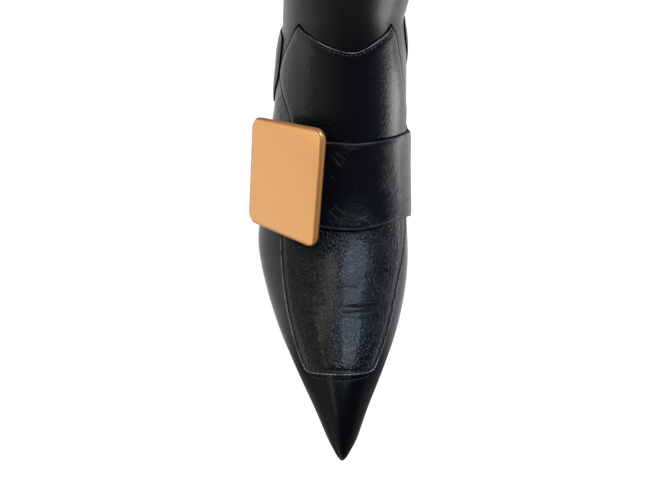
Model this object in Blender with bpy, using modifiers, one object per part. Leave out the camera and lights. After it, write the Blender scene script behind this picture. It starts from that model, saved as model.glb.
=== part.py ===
"""Ankle bootie for the right foot, with a pointed toe, an instep strap and a square plate.

Metres, +Z up. The toe points to -Y, the outer side of the foot is -X and the floor is z = 0.
The upper, its two panels and the strap are all cut from one function of the last, last_point.
"""
import math

import bmesh
import bpy
import numpy as np
from mathutils import Matrix

NAME = "ankle_bootie"
CUTTERS = "cutters"

# Placing: distances along the shoe are measured back from the toe, then moved to the origin
HALF_LENGTH = 0.1320
PLATE_OVERHANG = 0.0068     # how far the plate moves the middle of the shoe's width outwards

# Thicknesses
GAP = 0.0003                # left between pieces that meet
PANEL_GAP = 0.0006          # left under the two panels
WALL = 0.0018               # leather and lining of the upper
PANEL = 0.0007              # leather of the panels that lap over the upper
STRAP = 0.0018
INSOLE = 0.0022
OUTSOLE = 0.0035

# Side line of the sole, at the feather edge where upper and sole meet
TOE_SPRING = 0.0072         # rise from the tread to the toe
TREAD_START = 0.093         # the tread is flat between these two distances from the toe
TREAD_END = 0.127
HEEL_RISE = 0.0645          # rise from the tread to the heel seat
SEAT_END = 0.2630
TOE_SWING = 0.0012          # sideways offset of the toe tip

# Sole and heel
SOLE_MARGIN = 0.0010        # sole edge beyond the feather edge
SOLE_UNDERCUT = 0.0006      # trimmed off the lower edge of the sole
SOLE_SET_BACK = 0.0016      # the sole's tip lies this far behind the tip of the upper,
SOLE_TOE_ROWS = 2.5         # and its edge has its full margin from this row on
HEEL_BREAST = 0.2030        # front face of the heel at the seat
HEEL_BACK = 0.2605
HEEL_HALF = 0.0284
HEEL_FOOT_BREAST = 0.2090   # the same three sizes where the heel meets its top lift
HEEL_FOOT_BACK = 0.2530
HEEL_FOOT_HALF = 0.0215
TOP_LIFT = 0.0055
INSOLE_START_ROW = 0.6
INSOLE_MARGIN = 0.0010      # left between the insole and the inside of the upper

# The last from toe to heel seat, a row for each section. A section runs from its crown (top) down both sides
# to the feather edge (low). Widths are half widths; belly is the share of the way down at which the section
# is widest, and edge is the share of that width left at the feather edge. The crown lies at the ridge,
# sideways from the middle line, and the lateral slope from crown to belly is rounder the larger its roof
# exponent is.
FOOT_COLUMNS = "top_back top_height low_back lateral medial belly edge ridge roof"
FOOT = [
    (-0.0014, 0.0142, -0.0014, 0.0000, 0.0000, 0.55, 0.80, 0.0000, 2.0),
    (0.0022, 0.0182, 0.0022, 0.0036, 0.0036, 0.58, 0.82, 0.0000, 2.0),
    (0.0100, 0.0230, 0.0100, 0.0072, 0.0072, 0.62, 0.86, 0.0000, 2.0),
    (0.0250, 0.0283, 0.0250, 0.0141, 0.0127, 0.66, 0.90, 0.0000, 2.0),
    (0.0450, 0.0325, 0.0450, 0.0242, 0.0212, 0.68, 0.92, 0.0002, 2.0),
    (0.0650, 0.0362, 0.0660, 0.0336, 0.0285, 0.70, 0.93, 0.0008, 1.95),
    (0.0850, 0.0403, 0.0880, 0.0412, 0.0336, 0.72, 0.94, 0.0018, 1.85),
    (0.1020, 0.0462, 0.1090, 0.0466, 0.0363, 0.74, 0.93, 0.0032, 1.70),
    (0.1175, 0.0570, 0.1290, 0.0486, 0.0368, 0.75, 0.90, 0.0045, 1.60),
    (0.1295, 0.0695, 0.1490, 0.0460, 0.0366, 0.75, 0.84, 0.0052, 1.56),
    (0.1395, 0.0820, 0.1685, 0.0430, 0.0362, 0.73, 0.78, 0.0052, 1.58),
    (0.1480, 0.0940, 0.1890, 0.0405, 0.0360, 0.70, 0.74, 0.0048, 1.68),
    (0.1545, 0.1045, 0.2100, 0.0384, 0.0358, 0.66, 0.77, 0.0042, 1.80),
    (0.1595, 0.1135, 0.2340, 0.0361, 0.0351, 0.62, 0.84, 0.0036, 1.90),
    (0.1625, 0.1215, 0.2510, 0.0338, 0.0338, 0.59, 0.62, 0.0030, 1.96),
    (0.1643, 0.1280, 0.2598, 0.0333, 0.0333, 0.56, 0.235, 0.0025, 2.0),
    (0.1655, 0.1330, 0.2610, 0.0327, 0.0346, 0.54, 0.00, 0.0020, 2.0),
]
# The rows above the heel corner, where the section closes at the back seam instead
SHAFT_COLUMNS = "top_back top_height low_back low_height lateral medial belly ridge roof"
SHAFT = [
    (0.1665, 0.1380, 0.2628, 0.0735, 0.0322, 0.0353, 0.53, 0.0016, 2.0),
    (0.1678, 0.1460, 0.2640, 0.0925, 0.0315, 0.0355, 0.52, 0.0012, 2.0),
    (0.1690, 0.1560, 0.2602, 0.1220, 0.0311, 0.0355, 0.51, 0.0008, 2.0),
    (0.1702, 0.1680, 0.2570, 0.1520, 0.0312, 0.0356, 0.50, 0.0004, 2.0),
    (0.1715, 0.1820, 0.2568, 0.1805, 0.0317, 0.0358, 0.50, 0.0000, 2.0),
]
HEEL_WAIST = 12              # row at which the feather edge starts to turn round the heel
HEEL_CORNER = len(FOOT) - 1  # row at which it reaches the middle of the back
COLLAR = len(FOOT) + len(SHAFT) - 1
TOE_MIRROR = 3               # rows mirrored ahead of the toe
HALF_WIDTHS = ("lateral", "medial")
WIDEST_TURN = 0.55          # share of the way round at which a section is widest
INNER_TOE_ROW = 2.0         # the hollow of the toe starts at this row, behind a filled tip
INNER_TOE_BLEND = 4.0       # and has taken the last's own shape at this one
HEEL_SOFT_ROWS = 2.6        # rows and share of the way round over which the heel corner is softened
HEEL_SOFT_TURN = 0.26
SLOPE_STEP = 0.05           # step, in rows, over which the crown's slope is read
INCLINE_STEP = 0.0005       # step over which the feather edge's incline is read
SHARP_ANGLE = 35            # degrees

# Steps of the meshes
UPPER_TOE_STEPS = 5         # along the upper: its toe tip, forepart, heel and shaft
UPPER_FORE_STEPS = 23
UPPER_HEEL_STEPS = 8
UPPER_SHAFT_STEPS = 10
ROOF_STEPS = 8              # down each side: from the crown to the widest turn, and from there to the edge
FLANK_STEPS = 7
BOARD_TOE_STEPS = 4         # along the sole and the insole: toe tip, forepart, waist and heel
BOARD_FORE_STEPS = 21
BOARD_WAIST_STEPS = 4
BOARD_HEEL_STEPS = 7
HEEL_BACK_POINTS = 10       # round the back of the heel, on each side
APRON_POINTS = (27, 17)     # along and across
QUARTER_STEPS = (6, 11, 9)  # up the back panel: its lower front, heel and shaft
STRAP_POINTS = (37, 6)
CONTACT_POINTS = (240, 60)  # points at which the plate's seat is looked for
POST_SEGMENTS = 12

# Front panel: its two edges as shares of the way round, at rows of the last
APRON_COLUMNS = "row lateral medial"
APRON = [
    (3.2, 0.332, 0.302),
    (3.8, 0.368, 0.338),
    (4.4, 0.354, 0.350),
    (5.2, 0.332, 0.346),
    (6.0, 0.316, 0.350),
    (7.0, 0.304, 0.374),
    (8.5, 0.298, 0.400),
    (10.0, 0.295, 0.410),
    (10.8, 0.310, 0.404),
    (11.3, 0.341, 0.389),
    (11.7, 0.368, 0.367),
    (12.2, 0.392, 0.334),
    (12.6, 0.378, 0.313),
    (13.0, 0.349, 0.297),
    (13.5, 0.316, 0.284),
    (14.0, 0.290, 0.264),
    (14.3, 0.264, 0.243),
]
TOE_SEAM_ROW = 3.32
TOE_SEAM_BOW = 0.20         # the seam's ends lie this much further back,
TOE_SEAM_CORNER = 0.06      # and its very corners this much more
SCALLOP_ROW = 12.79         # lowest point of the scalloped top
POINT_ROW = 14.27           # the two points beside it
SCALLOP_ROUND = 0.22

# Back panel: its front edge on each side as a share of the way round, at rows of the last
QUARTER_COLUMNS = "row lateral medial"
QUARTER = [
    (11.6, 0.530, 0.630),
    (11.8, 0.490, 0.622),
    (12.1, 0.430, 0.605),
    (12.5, 0.407, 0.560),
    (12.75, 0.403, 0.505),
    (13.0, 0.402, 0.460),
    (13.25, 0.405, 0.440),
    (13.5, 0.422, 0.431),
    (13.7, 0.472, 0.428),
    (13.9, 0.555, 0.428),
    (14.2, 0.610, 0.436),
    (14.7, 0.634, 0.503),
    (15.3, 0.646, 0.580),
    (16.2, 0.654, 0.632),
    (18.5, 0.660, 0.658),
    (21.0, 0.660, 0.660),
]
QUARTER_HEM = 0.88          # its lower edge stops this far round, just above the sole
QUARTER_CLOSE_ROW = 16.4    # row at which that edge reaches the back seam
QUARTER_COLUMNS_A_SIDE = 10

# Strap: the rows of its two edges at the crown, and how they sweep back as the strap runs down the sides
STRAP_FRONT_ROW = 7.0
STRAP_BACK_ROW = 9.55
STRAP_SWEEP = 4.5
STRAP_ROUND = 0.2
STRAP_SETTLE = 0.8
STRAP_END = 0.86            # share of the way round at which it meets the sole
STRAP_EASE = 0.07           # share of the way round over which the strap steps off the front panel

# Square plate on the outer side of the strap, on two short posts
PLATE_SIDE = 0.0573
PLATE_THICKNESS = 0.0030
PLATE_CORNER = 0.0062
PLATE_EDGE = 0.0010
PLATE_EDGE_ANGLE = math.radians(60)  # edges sharper than this are rounded
PLATE_OUT = 0.0317          # its middle: out from the middle of the shoe,
PLATE_BACK = 0.1224         # behind the toe
PLATE_HEIGHT = 0.0628       # and above the floor, before it is seated
PLATE_FACING = math.radians(56.0)    # turn of its face from straight ahead towards the outer side
PLATE_LEAN = math.radians(27.3)      # lean of its face upwards
PLATE_SPIN = math.radians(27.0)      # turn in its own plane, along the run of the strap
POST_RADIUS = 0.0026
POST_PLACES = ((-0.011, -0.003), (0.011, -0.003))   # on the plate's back: along the strap, and across it

# Colours and finishes
UPPER_LEATHER = ((0.012, 0.012, 0.014), 0.32, 0.0)
PANEL_LEATHER = ((0.014, 0.014, 0.016), 0.30, 0.0)
STRAP_LEATHER = ((0.011, 0.011, 0.013), 0.34, 0.0)
GOLD_METAL = ((0.80, 0.50, 0.26), 0.16, 1.0)
SOCK_LEATHER = ((0.030, 0.028, 0.027), 0.60, 0.0)
SOLE_LEATHER = ((0.020, 0.019, 0.018), 0.45, 0.0)
HEEL_STACK = ((0.014, 0.013, 0.013), 0.35, 0.0)
LIFT_RUBBER = ((0.016, 0.016, 0.016), 0.75, 0.0)


def table(columns, rows):
    """A table as one array for each named column."""
    return {name: np.array(values) for name, values in zip(columns.split(), zip(*rows))}


def spline(knots, values, place):
    """A natural cubic through values at the knots."""
    knots = np.asarray(knots, float)
    values = np.asarray(values, float)
    gaps = np.diff(knots)
    count = len(knots)
    system = np.eye(count)
    bend = np.zeros(count)
    for i in range(1, count - 1):
        system[i, i - 1:i + 2] = gaps[i - 1], 2.0 * (gaps[i - 1] + gaps[i]), gaps[i]
        bend[i] = 6.0 * np.diff(np.diff(values[i - 1:i + 2]) / gaps[i - 1:i + 1])[0]
    bend = np.linalg.solve(system, bend)
    place = np.clip(np.asarray(place, float), knots[0], knots[-1])
    step = np.clip(np.searchsorted(knots, place, side="right") - 1, 0, count - 2)
    after = (place - knots[step]) / gaps[step]
    before = 1.0 - after
    curve = (before ** 3 - before) * bend[step] + (after ** 3 - after) * bend[step + 1]
    return before * values[step] + after * values[step + 1] + curve * gaps[step] ** 2 / 6.0


def ease(share):
    """A smooth step from 0 to 1."""
    share = np.clip(share, 0.0, 1.0)
    return share ** 2 * (3.0 - 2.0 * share)


def feather_height(back):
    """Height of the feather edge at a distance behind the toe: toe spring, flat tread, rise to the seat."""
    spring = TOE_SPRING * np.clip((TREAD_START - back) / TREAD_START, 0.0, None) ** 2
    rise = HEEL_RISE * ease((back - TREAD_END) / (SEAT_END - TREAD_END))
    return OUTSOLE + GAP + spring + rise


def feather_incline(back):
    """Angle at which the feather edge rises towards the heel."""
    rise = feather_height(back + INCLINE_STEP) - feather_height(back - INCLINE_STEP)
    return np.arctan2(rise, 2 * INCLINE_STEP)


def last_columns():
    """Every column of the last over all its rows, foot and shaft together."""
    foot = table(FOOT_COLUMNS, FOOT)
    shaft = table(SHAFT_COLUMNS, SHAFT)
    foot["low_height"] = feather_height(foot["low_back"])
    shaft["edge"] = np.zeros(len(SHAFT))
    return {name: np.concatenate([foot[name], shaft[name]]) for name in foot}


LAST = last_columns()


def from_toe(name):
    """A column of the last with its first rows mirrored ahead of the toe, so that the toe ends round."""
    ahead = LAST[name][TOE_MIRROR:0:-1]
    return np.concatenate([-ahead if name in HALF_WIDTHS else ahead, LAST[name]])


def through_rows(name, row):
    """A column of the last, smooth through all its rows."""
    return spline(np.arange(-TOE_MIRROR, COLLAR + 1), from_toe(name), row)


def to_heel_corner(name, row):
    """A column of the lower line, which comes to rest at the heel corner from both sides."""
    values = LAST[name]
    reach = COLLAR - HEEL_CORNER
    to_corner = from_toe(name)[:TOE_MIRROR + HEEL_CORNER + 1]
    before = np.concatenate([to_corner, values[HEEL_CORNER - reach:HEEL_CORNER][::-1]])
    behind = np.concatenate([values[HEEL_CORNER + 1:][::-1], values[HEEL_CORNER:]])
    under_foot = spline(np.arange(len(before)) - TOE_MIRROR, before, np.minimum(row, HEEL_CORNER))
    up_the_back = spline(np.arange(len(behind)), behind, np.maximum(row, HEEL_CORNER) - HEEL_CORNER + reach)
    return np.where(row <= HEEL_CORNER, under_foot, up_the_back)


def crown_direction(row):
    """Unit direction, back and up, of the crown line."""
    row = np.clip(row, SLOPE_STEP, COLLAR - SLOPE_STEP)
    back = through_rows("top_back", row + SLOPE_STEP) - through_rows("top_back", row - SLOPE_STEP)
    up = through_rows("top_height", row + SLOPE_STEP) - through_rows("top_height", row - SLOPE_STEP)
    length = np.hypot(back, up)
    return back / length, up / length


def section_point(row, turn, inset):
    """A point of the last, straight from its sections."""
    row, turn, inset = np.broadcast_arrays(*(np.asarray(value, float) for value in (row, turn, inset)))
    edge = np.where(row < HEEL_CORNER, np.maximum(to_heel_corner("edge", row), 0.0), 0.0)
    half = np.where(turn > 0.0, through_rows("lateral", row), through_rows("medial", row))
    belly = through_rows("belly", row)
    # the crown moves along its own normal, and the low end moves forward round the heel
    along, up = crown_direction(row)
    top_back = through_rows("top_back", row) + inset * up
    top_height = through_rows("top_height", row) - inset * along
    round_heel = np.where(row > HEEL_WAIST, np.clip(1.0 - edge / LAST["edge"][HEEL_WAIST], 0.0, 1.0), 0.0)
    low_back = to_heel_corner("low_back", row) - inset * round_heel
    low_height = to_heel_corner("low_height", row)
    inner_half = np.maximum(half - inset, 0.0)
    # a rounded slope from crown to belly, and the arc of an ellipse from belly to the low end
    share = np.abs(turn)
    over = np.clip(share / WIDEST_TURN, 0.0, 1.0) * math.pi / 2
    arc = np.arccos(edge)
    under = np.clip((share - WIDEST_TURN) / (1.0 - WIDEST_TURN), 0.0, 1.0) * arc
    above = share <= WIDEST_TURN
    power = 2.0 / np.where(turn > 0.0, through_rows("roof", row), 2.0)
    side = np.where(turn > 0.0, -1.0, 1.0)
    ridge = through_rows("ridge", row)
    slope_x = ridge + (side * inner_half - ridge) * np.sin(over) ** power
    across = np.where(above, slope_x, side * inner_half * np.cos(under))
    fall = belly * (1.0 - np.maximum(np.cos(over), 0.0) ** power)
    down = np.where(above, fall, belly + (1.0 - belly) * np.sin(under) / np.sin(arc))
    swing = -TOE_SWING * np.clip(1.0 - through_rows("top_back", row) / TREAD_START, 0.0, None)
    x = swing + across
    back = top_back + (low_back - top_back) * down
    height = top_height + (low_height - top_height) * down
    return np.stack([x + PLATE_OVERHANG, back - HALF_LENGTH, height], axis=-1)


def last_point(row, turn, inset=0.0):
    """A point of the last: turn runs from -1 (medial edge) over 0 (crown) to 1 (lateral edge).

    A positive inset gives the parallel form inside the last, and a negative one the form around it. Sections
    are averaged near the heel corner, where their lower ends change from the sole's edge to the back seam.
    """
    near_corner = ease(1.0 - np.abs(np.asarray(row) - HEEL_CORNER) / HEEL_SOFT_ROWS)
    reach = near_corner * ease((1.0 - np.abs(turn)) / HEEL_SOFT_TURN)
    middle = section_point(row, turn, inset)
    beside = section_point(row - reach, turn, inset) + section_point(row + reach, turn, inset)
    return (beside + 2.0 * middle) / 4.0


def lining_point(row, turn):
    """The inside of the upper: parallel to the last, with a round end behind the filled toe tip."""
    row, turn = np.broadcast_arrays(np.asarray(row, float), np.asarray(turn, float))
    ahead = np.clip(1.0 - row / INNER_TOE_BLEND, 0.0, 1.0)
    inner_row = row + INNER_TOE_ROW * ahead ** 2
    point = last_point(inner_row, turn, WALL)
    middle = last_point(inner_row, 0.0, WALL)
    point[..., 0] = middle[..., 0] + (point[..., 0] - middle[..., 0]) * np.sqrt(1.0 - ahead ** 2)
    return point


def solid_between(name, lower, upper, finish, open_column=None):
    """A closed solid between two grids of points, with a wall along every open edge.

    Points of the upper grid that coincide are one point. No faces lie beyond the open column, if any.
    """
    rows, columns = upper.shape[:2]
    first_of = {}
    index = [first_of.setdefault(tuple(point), i) for i, point in enumerate(upper.reshape(-1, 3).tolist())]
    above = rows * columns
    faces = []
    uses = {}
    for i in range(rows - 1):
        for j in range(columns - 1):
            if j == open_column:
                continue
            corners = [(i, j), (i + 1, j), (i + 1, j + 1), (i, j + 1)]
            ring = list(dict.fromkeys(index[row * columns + column] for row, column in corners))
            if len(ring) < 3:
                continue
            faces.append(ring)
            faces.append([corner + above for corner in reversed(ring)])
            for pair in zip(ring, ring[1:] + ring[:1]):
                uses.setdefault(frozenset(pair), []).append(pair)
    for pairs in uses.values():
        if len(pairs) == 1:
            a, b = pairs[0]
            faces.append([b, a, a + above, b + above])
    mesh = bpy.data.meshes.new(name)
    points = np.concatenate([upper.reshape(-1, 3), lower.reshape(-1, 3)])
    mesh.from_pydata(points.tolist(), [], faces)
    work = bmesh.new()
    work.from_mesh(mesh)
    bmesh.ops.delete(work, geom=[vert for vert in work.verts if not vert.link_faces], context="VERTS")
    bmesh.ops.recalc_face_normals(work, faces=work.faces)
    work.to_mesh(mesh)
    work.free()
    return add_part(name, mesh, finish)


def add_part(name, mesh, finish):
    """Put a mesh in the shoe's collection under its own name and material."""
    colour, roughness, metallic = finish
    material = bpy.data.materials.new(name)
    material.use_nodes = True
    shader = material.node_tree.nodes["Principled BSDF"]
    shader.inputs["Base Color"].default_value = (*colour, 1.0)
    shader.inputs["Roughness"].default_value = roughness
    shader.inputs["Metallic"].default_value = metallic
    mesh.materials.append(material)
    mesh.shade_smooth()
    mesh.set_sharp_from_angle(angle=math.radians(SHARP_ANGLE))
    part = bpy.data.objects.new(name, mesh)
    bpy.data.collections[NAME].objects.link(part)
    return part


def meet(grid, rows, left=0, right=-1):
    """Bring two columns together, at these rows, where they are the two sides of a seam."""
    for i in rows:
        grid[i, left] = grid[i, right] = (grid[i, left] + grid[i, right]) / 2
    return grid


def fold(grid):
    """Fold the first row so that its two halves lie on each other."""
    grid[0] = (grid[0] + grid[0, ::-1]) / 2
    return grid


def runs(*stops):
    """Numbers in even steps, given in turn as a stop, a count of steps, the next stop and so on."""
    spans = zip(stops[:-2:2], stops[2::2], stops[1::2])
    parts = [np.linspace(start, end, steps, endpoint=False) for start, end, steps in spans]
    return np.append(np.concatenate(parts), stops[-1])


def make_upper():
    foot = (0, UPPER_TOE_STEPS, 1, UPPER_FORE_STEPS, HEEL_WAIST + 1, UPPER_HEEL_STEPS)
    rows = runs(*foot, HEEL_CORNER, UPPER_SHAFT_STEPS, COLLAR)[:, None]
    half = runs(0, ROOF_STEPS, WIDEST_TURN, FLANK_STEPS, 1)
    turns = np.concatenate([-half[:0:-1], half])[None, :]
    closed = np.flatnonzero(rows[:, 0] >= HEEL_CORNER)
    outside = meet(fold(last_point(rows, turns)), closed)
    inside = meet(fold(lining_point(rows, turns)), closed)
    solid_between("upper", inside, outside, UPPER_LEATHER)


def apron_edges(row):
    """Lateral and medial edge of the front panel, as shares of the way round."""
    edges = table(APRON_COLUMNS, APRON)
    return spline(edges["row"], edges["lateral"], row), spline(edges["row"], edges["medial"], row)


def make_apron_tongue():
    across = np.linspace(-1, 1, APRON_POINTS[1])[None, :]
    start = TOE_SEAM_ROW + TOE_SEAM_BOW * across ** 2 + TOE_SEAM_CORNER * across ** 8
    dip = np.hypot(across, SCALLOP_ROUND) - SCALLOP_ROUND
    dip = dip / (math.hypot(1, SCALLOP_ROUND) - SCALLOP_ROUND)
    stop = SCALLOP_ROW + (POINT_ROW - SCALLOP_ROW) * dip
    rows = start + (stop - start) * np.linspace(0, 1, APRON_POINTS[0])[:, None]
    lateral, medial = apron_edges(rows)
    turns = np.where(across > 0, across * lateral, across * medial)
    inside = last_point(rows, turns, -PANEL_GAP)
    outside = last_point(rows, turns, -PANEL_GAP - PANEL)
    solid_between("apron_tongue", inside, outside, PANEL_LEATHER)


def make_back_quarter():
    low, heel, shaft = QUARTER_STEPS
    rows = runs(QUARTER[0][0], low, HEEL_WAIST + 1, heel, QUARTER_CLOSE_ROW, shaft, COLLAR)[:, None]
    edges = table(QUARTER_COLUMNS, QUARTER)
    to_seam = np.clip((rows - HEEL_WAIST - 1) / (QUARTER_CLOSE_ROW - HEEL_WAIST - 1), 0, 1)
    hem = QUARTER_HEM + (1 - QUARTER_HEM) * to_seam ** 2
    share = np.linspace(0, 1, QUARTER_COLUMNS_A_SIDE)[None, :]
    lateral, medial = (spline(edges["row"], edges[side], rows) for side in ("lateral", "medial"))
    lateral = lateral + (hem - lateral) * share
    medial = medial + (hem - medial) * share[:, ::-1]
    turns = np.concatenate([lateral, -medial], axis=1)
    closed = np.flatnonzero(to_seam[:, 0] >= 1)
    seam = QUARTER_COLUMNS_A_SIDE - 1
    inside = meet(last_point(rows, turns, -PANEL_GAP), closed, seam, seam + 1)
    outside = meet(last_point(rows, turns, -PANEL_GAP - PANEL), closed, seam, seam + 1)
    solid_between("back_quarter", inside, outside, PANEL_LEATHER, open_column=seam)


def strap_grid(height, points=STRAP_POINTS):
    """Points of the strap, at a height above its seat, from the medial to the lateral end."""
    along, across = points
    turn = np.linspace(-STRAP_END, STRAP_END, along)[:, None]
    sweep = STRAP_SWEEP * (np.hypot(turn, STRAP_ROUND) - STRAP_ROUND) / (1 + STRAP_SETTLE * turn ** 2)
    breadth = (STRAP_BACK_ROW - STRAP_FRONT_ROW) * np.linspace(0, 1, across)[None, :]
    row = STRAP_FRONT_ROW + sweep + breadth
    lateral, medial = apron_edges(row)
    beyond = np.abs(turn) - np.where(turn > 0, lateral, medial)
    over_panel = 1 - ease((beyond - STRAP_EASE / 4) / STRAP_EASE)
    return last_point(row, turn, -GAP - (PANEL_GAP + PANEL) * over_panel - height)


def make_strap():
    solid_between("strap", strap_grid(0), strap_grid(STRAP), STRAP_LEATHER)


def plate_axes():
    """The plate's own axes: along the strap, across it and outwards."""
    facing = Matrix.Rotation(-PLATE_FACING, 3, "Z") @ Matrix.Rotation(math.pi / 2 - PLATE_LEAN, 3, "X")
    return facing @ Matrix.Rotation(PLATE_SPIN, 3, "Z")


def under_plate(axes, middle):
    """Points of the strap and of the front panel, in the plate's own axes about its middle."""
    along, across = CONTACT_POINTS
    rows = np.linspace(APRON[0][0], SCALLOP_ROW, along)[:, None]
    share = np.linspace(-1, 1, across)[None, :]
    lateral, medial = apron_edges(rows)
    panel = last_point(rows, np.where(share > 0, share * lateral, share * medial), -PANEL_GAP - PANEL)
    strap = strap_grid(STRAP, CONTACT_POINTS)
    points = np.concatenate([panel.reshape(-1, 3), strap.reshape(-1, 3)])
    return (points - middle) @ np.array(axes)


def make_plate():
    """A square plate with round corners, laid on the highest point under it and carried by two posts."""
    axes = plate_axes()
    aim = np.array([PLATE_OVERHANG - PLATE_OUT, PLATE_BACK - HALF_LENGTH, PLATE_HEIGHT])
    below = under_plate(axes, aim)
    below = below[np.abs(below[:, :2]).max(axis=1) < PLATE_SIDE / 2]
    seat = below[:, 2].max() + GAP
    place = Matrix.Translation(aim + np.array(axes.col[2]) * seat) @ axes.to_4x4()
    work = bmesh.new()
    bmesh.ops.create_cube(work, size=1)
    bmesh.ops.scale(work, vec=(PLATE_SIDE, PLATE_SIDE, PLATE_THICKNESS), verts=work.verts)
    bmesh.ops.translate(work, vec=(0, 0, PLATE_THICKNESS / 2), verts=work.verts)
    rises = {edge: abs(edge.verts[0].co.z - edge.verts[1].co.z) for edge in work.edges}
    upright = [edge for edge, rise in rises.items() if rise > PLATE_THICKNESS / 2]
    bmesh.ops.bevel(work, geom=upright, offset=PLATE_CORNER, segments=5, profile=0.5, affect="EDGES")
    mesh = bpy.data.meshes.new("plate")
    work.to_mesh(mesh)
    work.free()
    plate = add_part("plate", mesh, GOLD_METAL)
    plate.matrix_world = place
    rim = plate.modifiers.new("rim", "BEVEL")
    rim.width = PLATE_EDGE
    rim.segments = 2
    rim.limit_method = "ANGLE"
    rim.angle_limit = PLATE_EDGE_ANGLE
    for number, (along, across) in enumerate(POST_PLACES):
        near = np.hypot(below[:, 0] - along, below[:, 1] - across) < POST_RADIUS + 2 * GAP
        length = seat - below[near, 2].max() - GAP
        post = plate_post("plate_post_%d" % number, along, across, length)
        post.matrix_world = place
        join = plate.modifiers.new(post.name, "BOOLEAN")
        join.operation = "UNION"
        join.object = post


def plate_post(name, along, across, length):
    """A round post from inside the plate down to the strap, used to build the plate."""
    work = bmesh.new()
    depth = length + PLATE_THICKNESS / 2
    radii = {"radius1": POST_RADIUS, "radius2": POST_RADIUS}
    bmesh.ops.create_cone(work, cap_ends=True, segments=POST_SEGMENTS, depth=depth, **radii)
    bmesh.ops.translate(work, vec=(along, across, depth / 2 - length), verts=work.verts)
    mesh = bpy.data.meshes.new(name)
    work.to_mesh(mesh)
    work.free()
    post = bpy.data.objects.new(name, mesh)
    post.hide_render = True
    post.display_type = "WIRE"
    bpy.data.collections[CUTTERS].objects.link(post)
    return post


def plan_offset(edge, side, distance):
    """An edge line moved outwards in plan; side is 1 for the lateral edge and -1 for the medial one.

    The distance is one number, or one for each point of the line.
    """
    run = np.gradient(edge[:, :2], axis=0)
    run /= np.linalg.norm(run, axis=1)[:, None]
    outward = side * np.stack([-run[:, 1], run[:, 0]], axis=1)
    return edge[:, :2] + np.reshape(distance, (-1, 1)) * outward


def board(name, lateral, medial, finish, drop_lower, drop_upper, ends):
    """A bent board under the foot, its two faces lying at these depths below the feather edge.

    lateral and medial each give the plan of the upper and of the lower edge, from toe to heel, and they come
    together at the ends.
    """
    faces = []
    for level, drop in ((0, drop_upper), (1, drop_lower)):
        plan = np.stack([lateral[level], (lateral[level] + medial[level]) / 2, medial[level]], axis=1)
        back = plan[..., 1] + HALF_LENGTH
        incline = feather_incline(back)
        y = plan[..., 1] + drop * np.sin(incline)
        height = feather_height(back) - drop * np.cos(incline)
        faces.append(np.stack([plan[..., 0], y, height], axis=-1))
    upper, lower = (meet(face, ends) for face in faces)
    for face in (upper, lower):
        face[ends, 1] = face[ends, 0]
    return solid_between(name, lower, upper, finish)


def board_rows(start):
    fore = (start, BOARD_TOE_STEPS, 1, BOARD_FORE_STEPS, HEEL_WAIST)
    return runs(*fore, BOARD_WAIST_STEPS, HEEL_CORNER - 2, BOARD_HEEL_STEPS, HEEL_CORNER)


def make_outsole():
    """The sole lies under the edge of the upper, and a little behind its tip at the toe."""
    rows = board_rows(0)
    full = ease(rows / SOLE_TOE_ROWS)
    margins = (SOLE_MARGIN * full, SOLE_MARGIN * full - SOLE_UNDERCUT)
    edges = {side: last_point(rows, side) for side in (1, -1)}
    for edge in edges.values():
        edge[:, 1] += SOLE_SET_BACK * (1 - full)
    lateral, medial = ([plan_offset(edges[side], side, margin) for margin in margins] for side in (1, -1))
    board("outsole", lateral, medial, SOLE_LEATHER, GAP + OUTSOLE, GAP, [0, -1])


def make_insole():
    rows = board_rows(INSOLE_START_ROW)
    edges = {side: lining_point(rows, side) for side in (1, -1)}
    lateral, medial = ([plan_offset(edges[side], side, -INSOLE_MARGIN)] * 2 for side in (1, -1))
    board("insole", lateral, medial, SOCK_LEATHER, 0.0, -INSOLE, [-1])


def heel_outline(half, breast, back):
    """Plan of a heel: straight sides from the breast, and a half circle at the back."""
    angle = np.linspace(math.pi / 2, 0, HEEL_BACK_POINTS)
    x = np.append(half, half * np.sin(angle))
    y = np.append(breast, back - half + half * np.cos(angle)) - HALF_LENGTH
    return np.stack([np.stack([-x, y], axis=1), np.stack([x, y], axis=1)], axis=1)


def raised(plan, height):
    """A plan grid lifted to a height, with its last row brought to one point."""
    height = np.broadcast_to(height, plan.shape[:2])
    grid = np.dstack([plan[..., 0] + PLATE_OVERHANG, plan[..., 1], height])
    return meet(grid, [len(plan) - 1])


def make_heel():
    seat = heel_outline(HEEL_HALF, HEEL_BREAST, HEEL_BACK)
    foot = heel_outline(HEEL_FOOT_HALF, HEEL_FOOT_BREAST, HEEL_FOOT_BACK)
    back = seat[..., 1] + HALF_LENGTH
    depth = (OUTSOLE + 2 * GAP) / np.cos(feather_incline(back))
    top = feather_height(back) - depth
    solid_between("heel", raised(foot, TOP_LIFT + GAP), raised(seat, top), HEEL_STACK)
    solid_between("heel_top_lift", raised(foot, 0), raised(foot, TOP_LIFT), LIFT_RUBBER)


def build():
    for item in list(bpy.data.objects):
        bpy.data.objects.remove(item, do_unlink=True)
    for name in (NAME, CUTTERS):
        bpy.context.scene.collection.children.link(bpy.data.collections.new(name))
    make_outsole()
    make_heel()
    make_insole()
    make_upper()
    make_apron_tongue()
    make_back_quarter()
    make_strap()
    make_plate()


build()
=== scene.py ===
"""Looks of the ankle bootie: leather, seams, creases, stitches, plate and stage, laid out as an add-on.

Metres, +Z up, in the frame of the CAD part: the toe points to -Y and the outer side of the foot is -X.
Every leather piece is drawn over the same last as the CAD part on a finer grid, so a row, a turn and a
height above the last mean the same here as there. Creases and marks are placed by their reach, measured
back from the toe along the crown of the last, and by how far they lie around from it, positive on the
outer side.
"""
import math
from collections import namedtuple

import bmesh
import bpy
import numpy as np
from mathutils import Matrix, Vector
from mathutils.kdtree import KDTree


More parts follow.
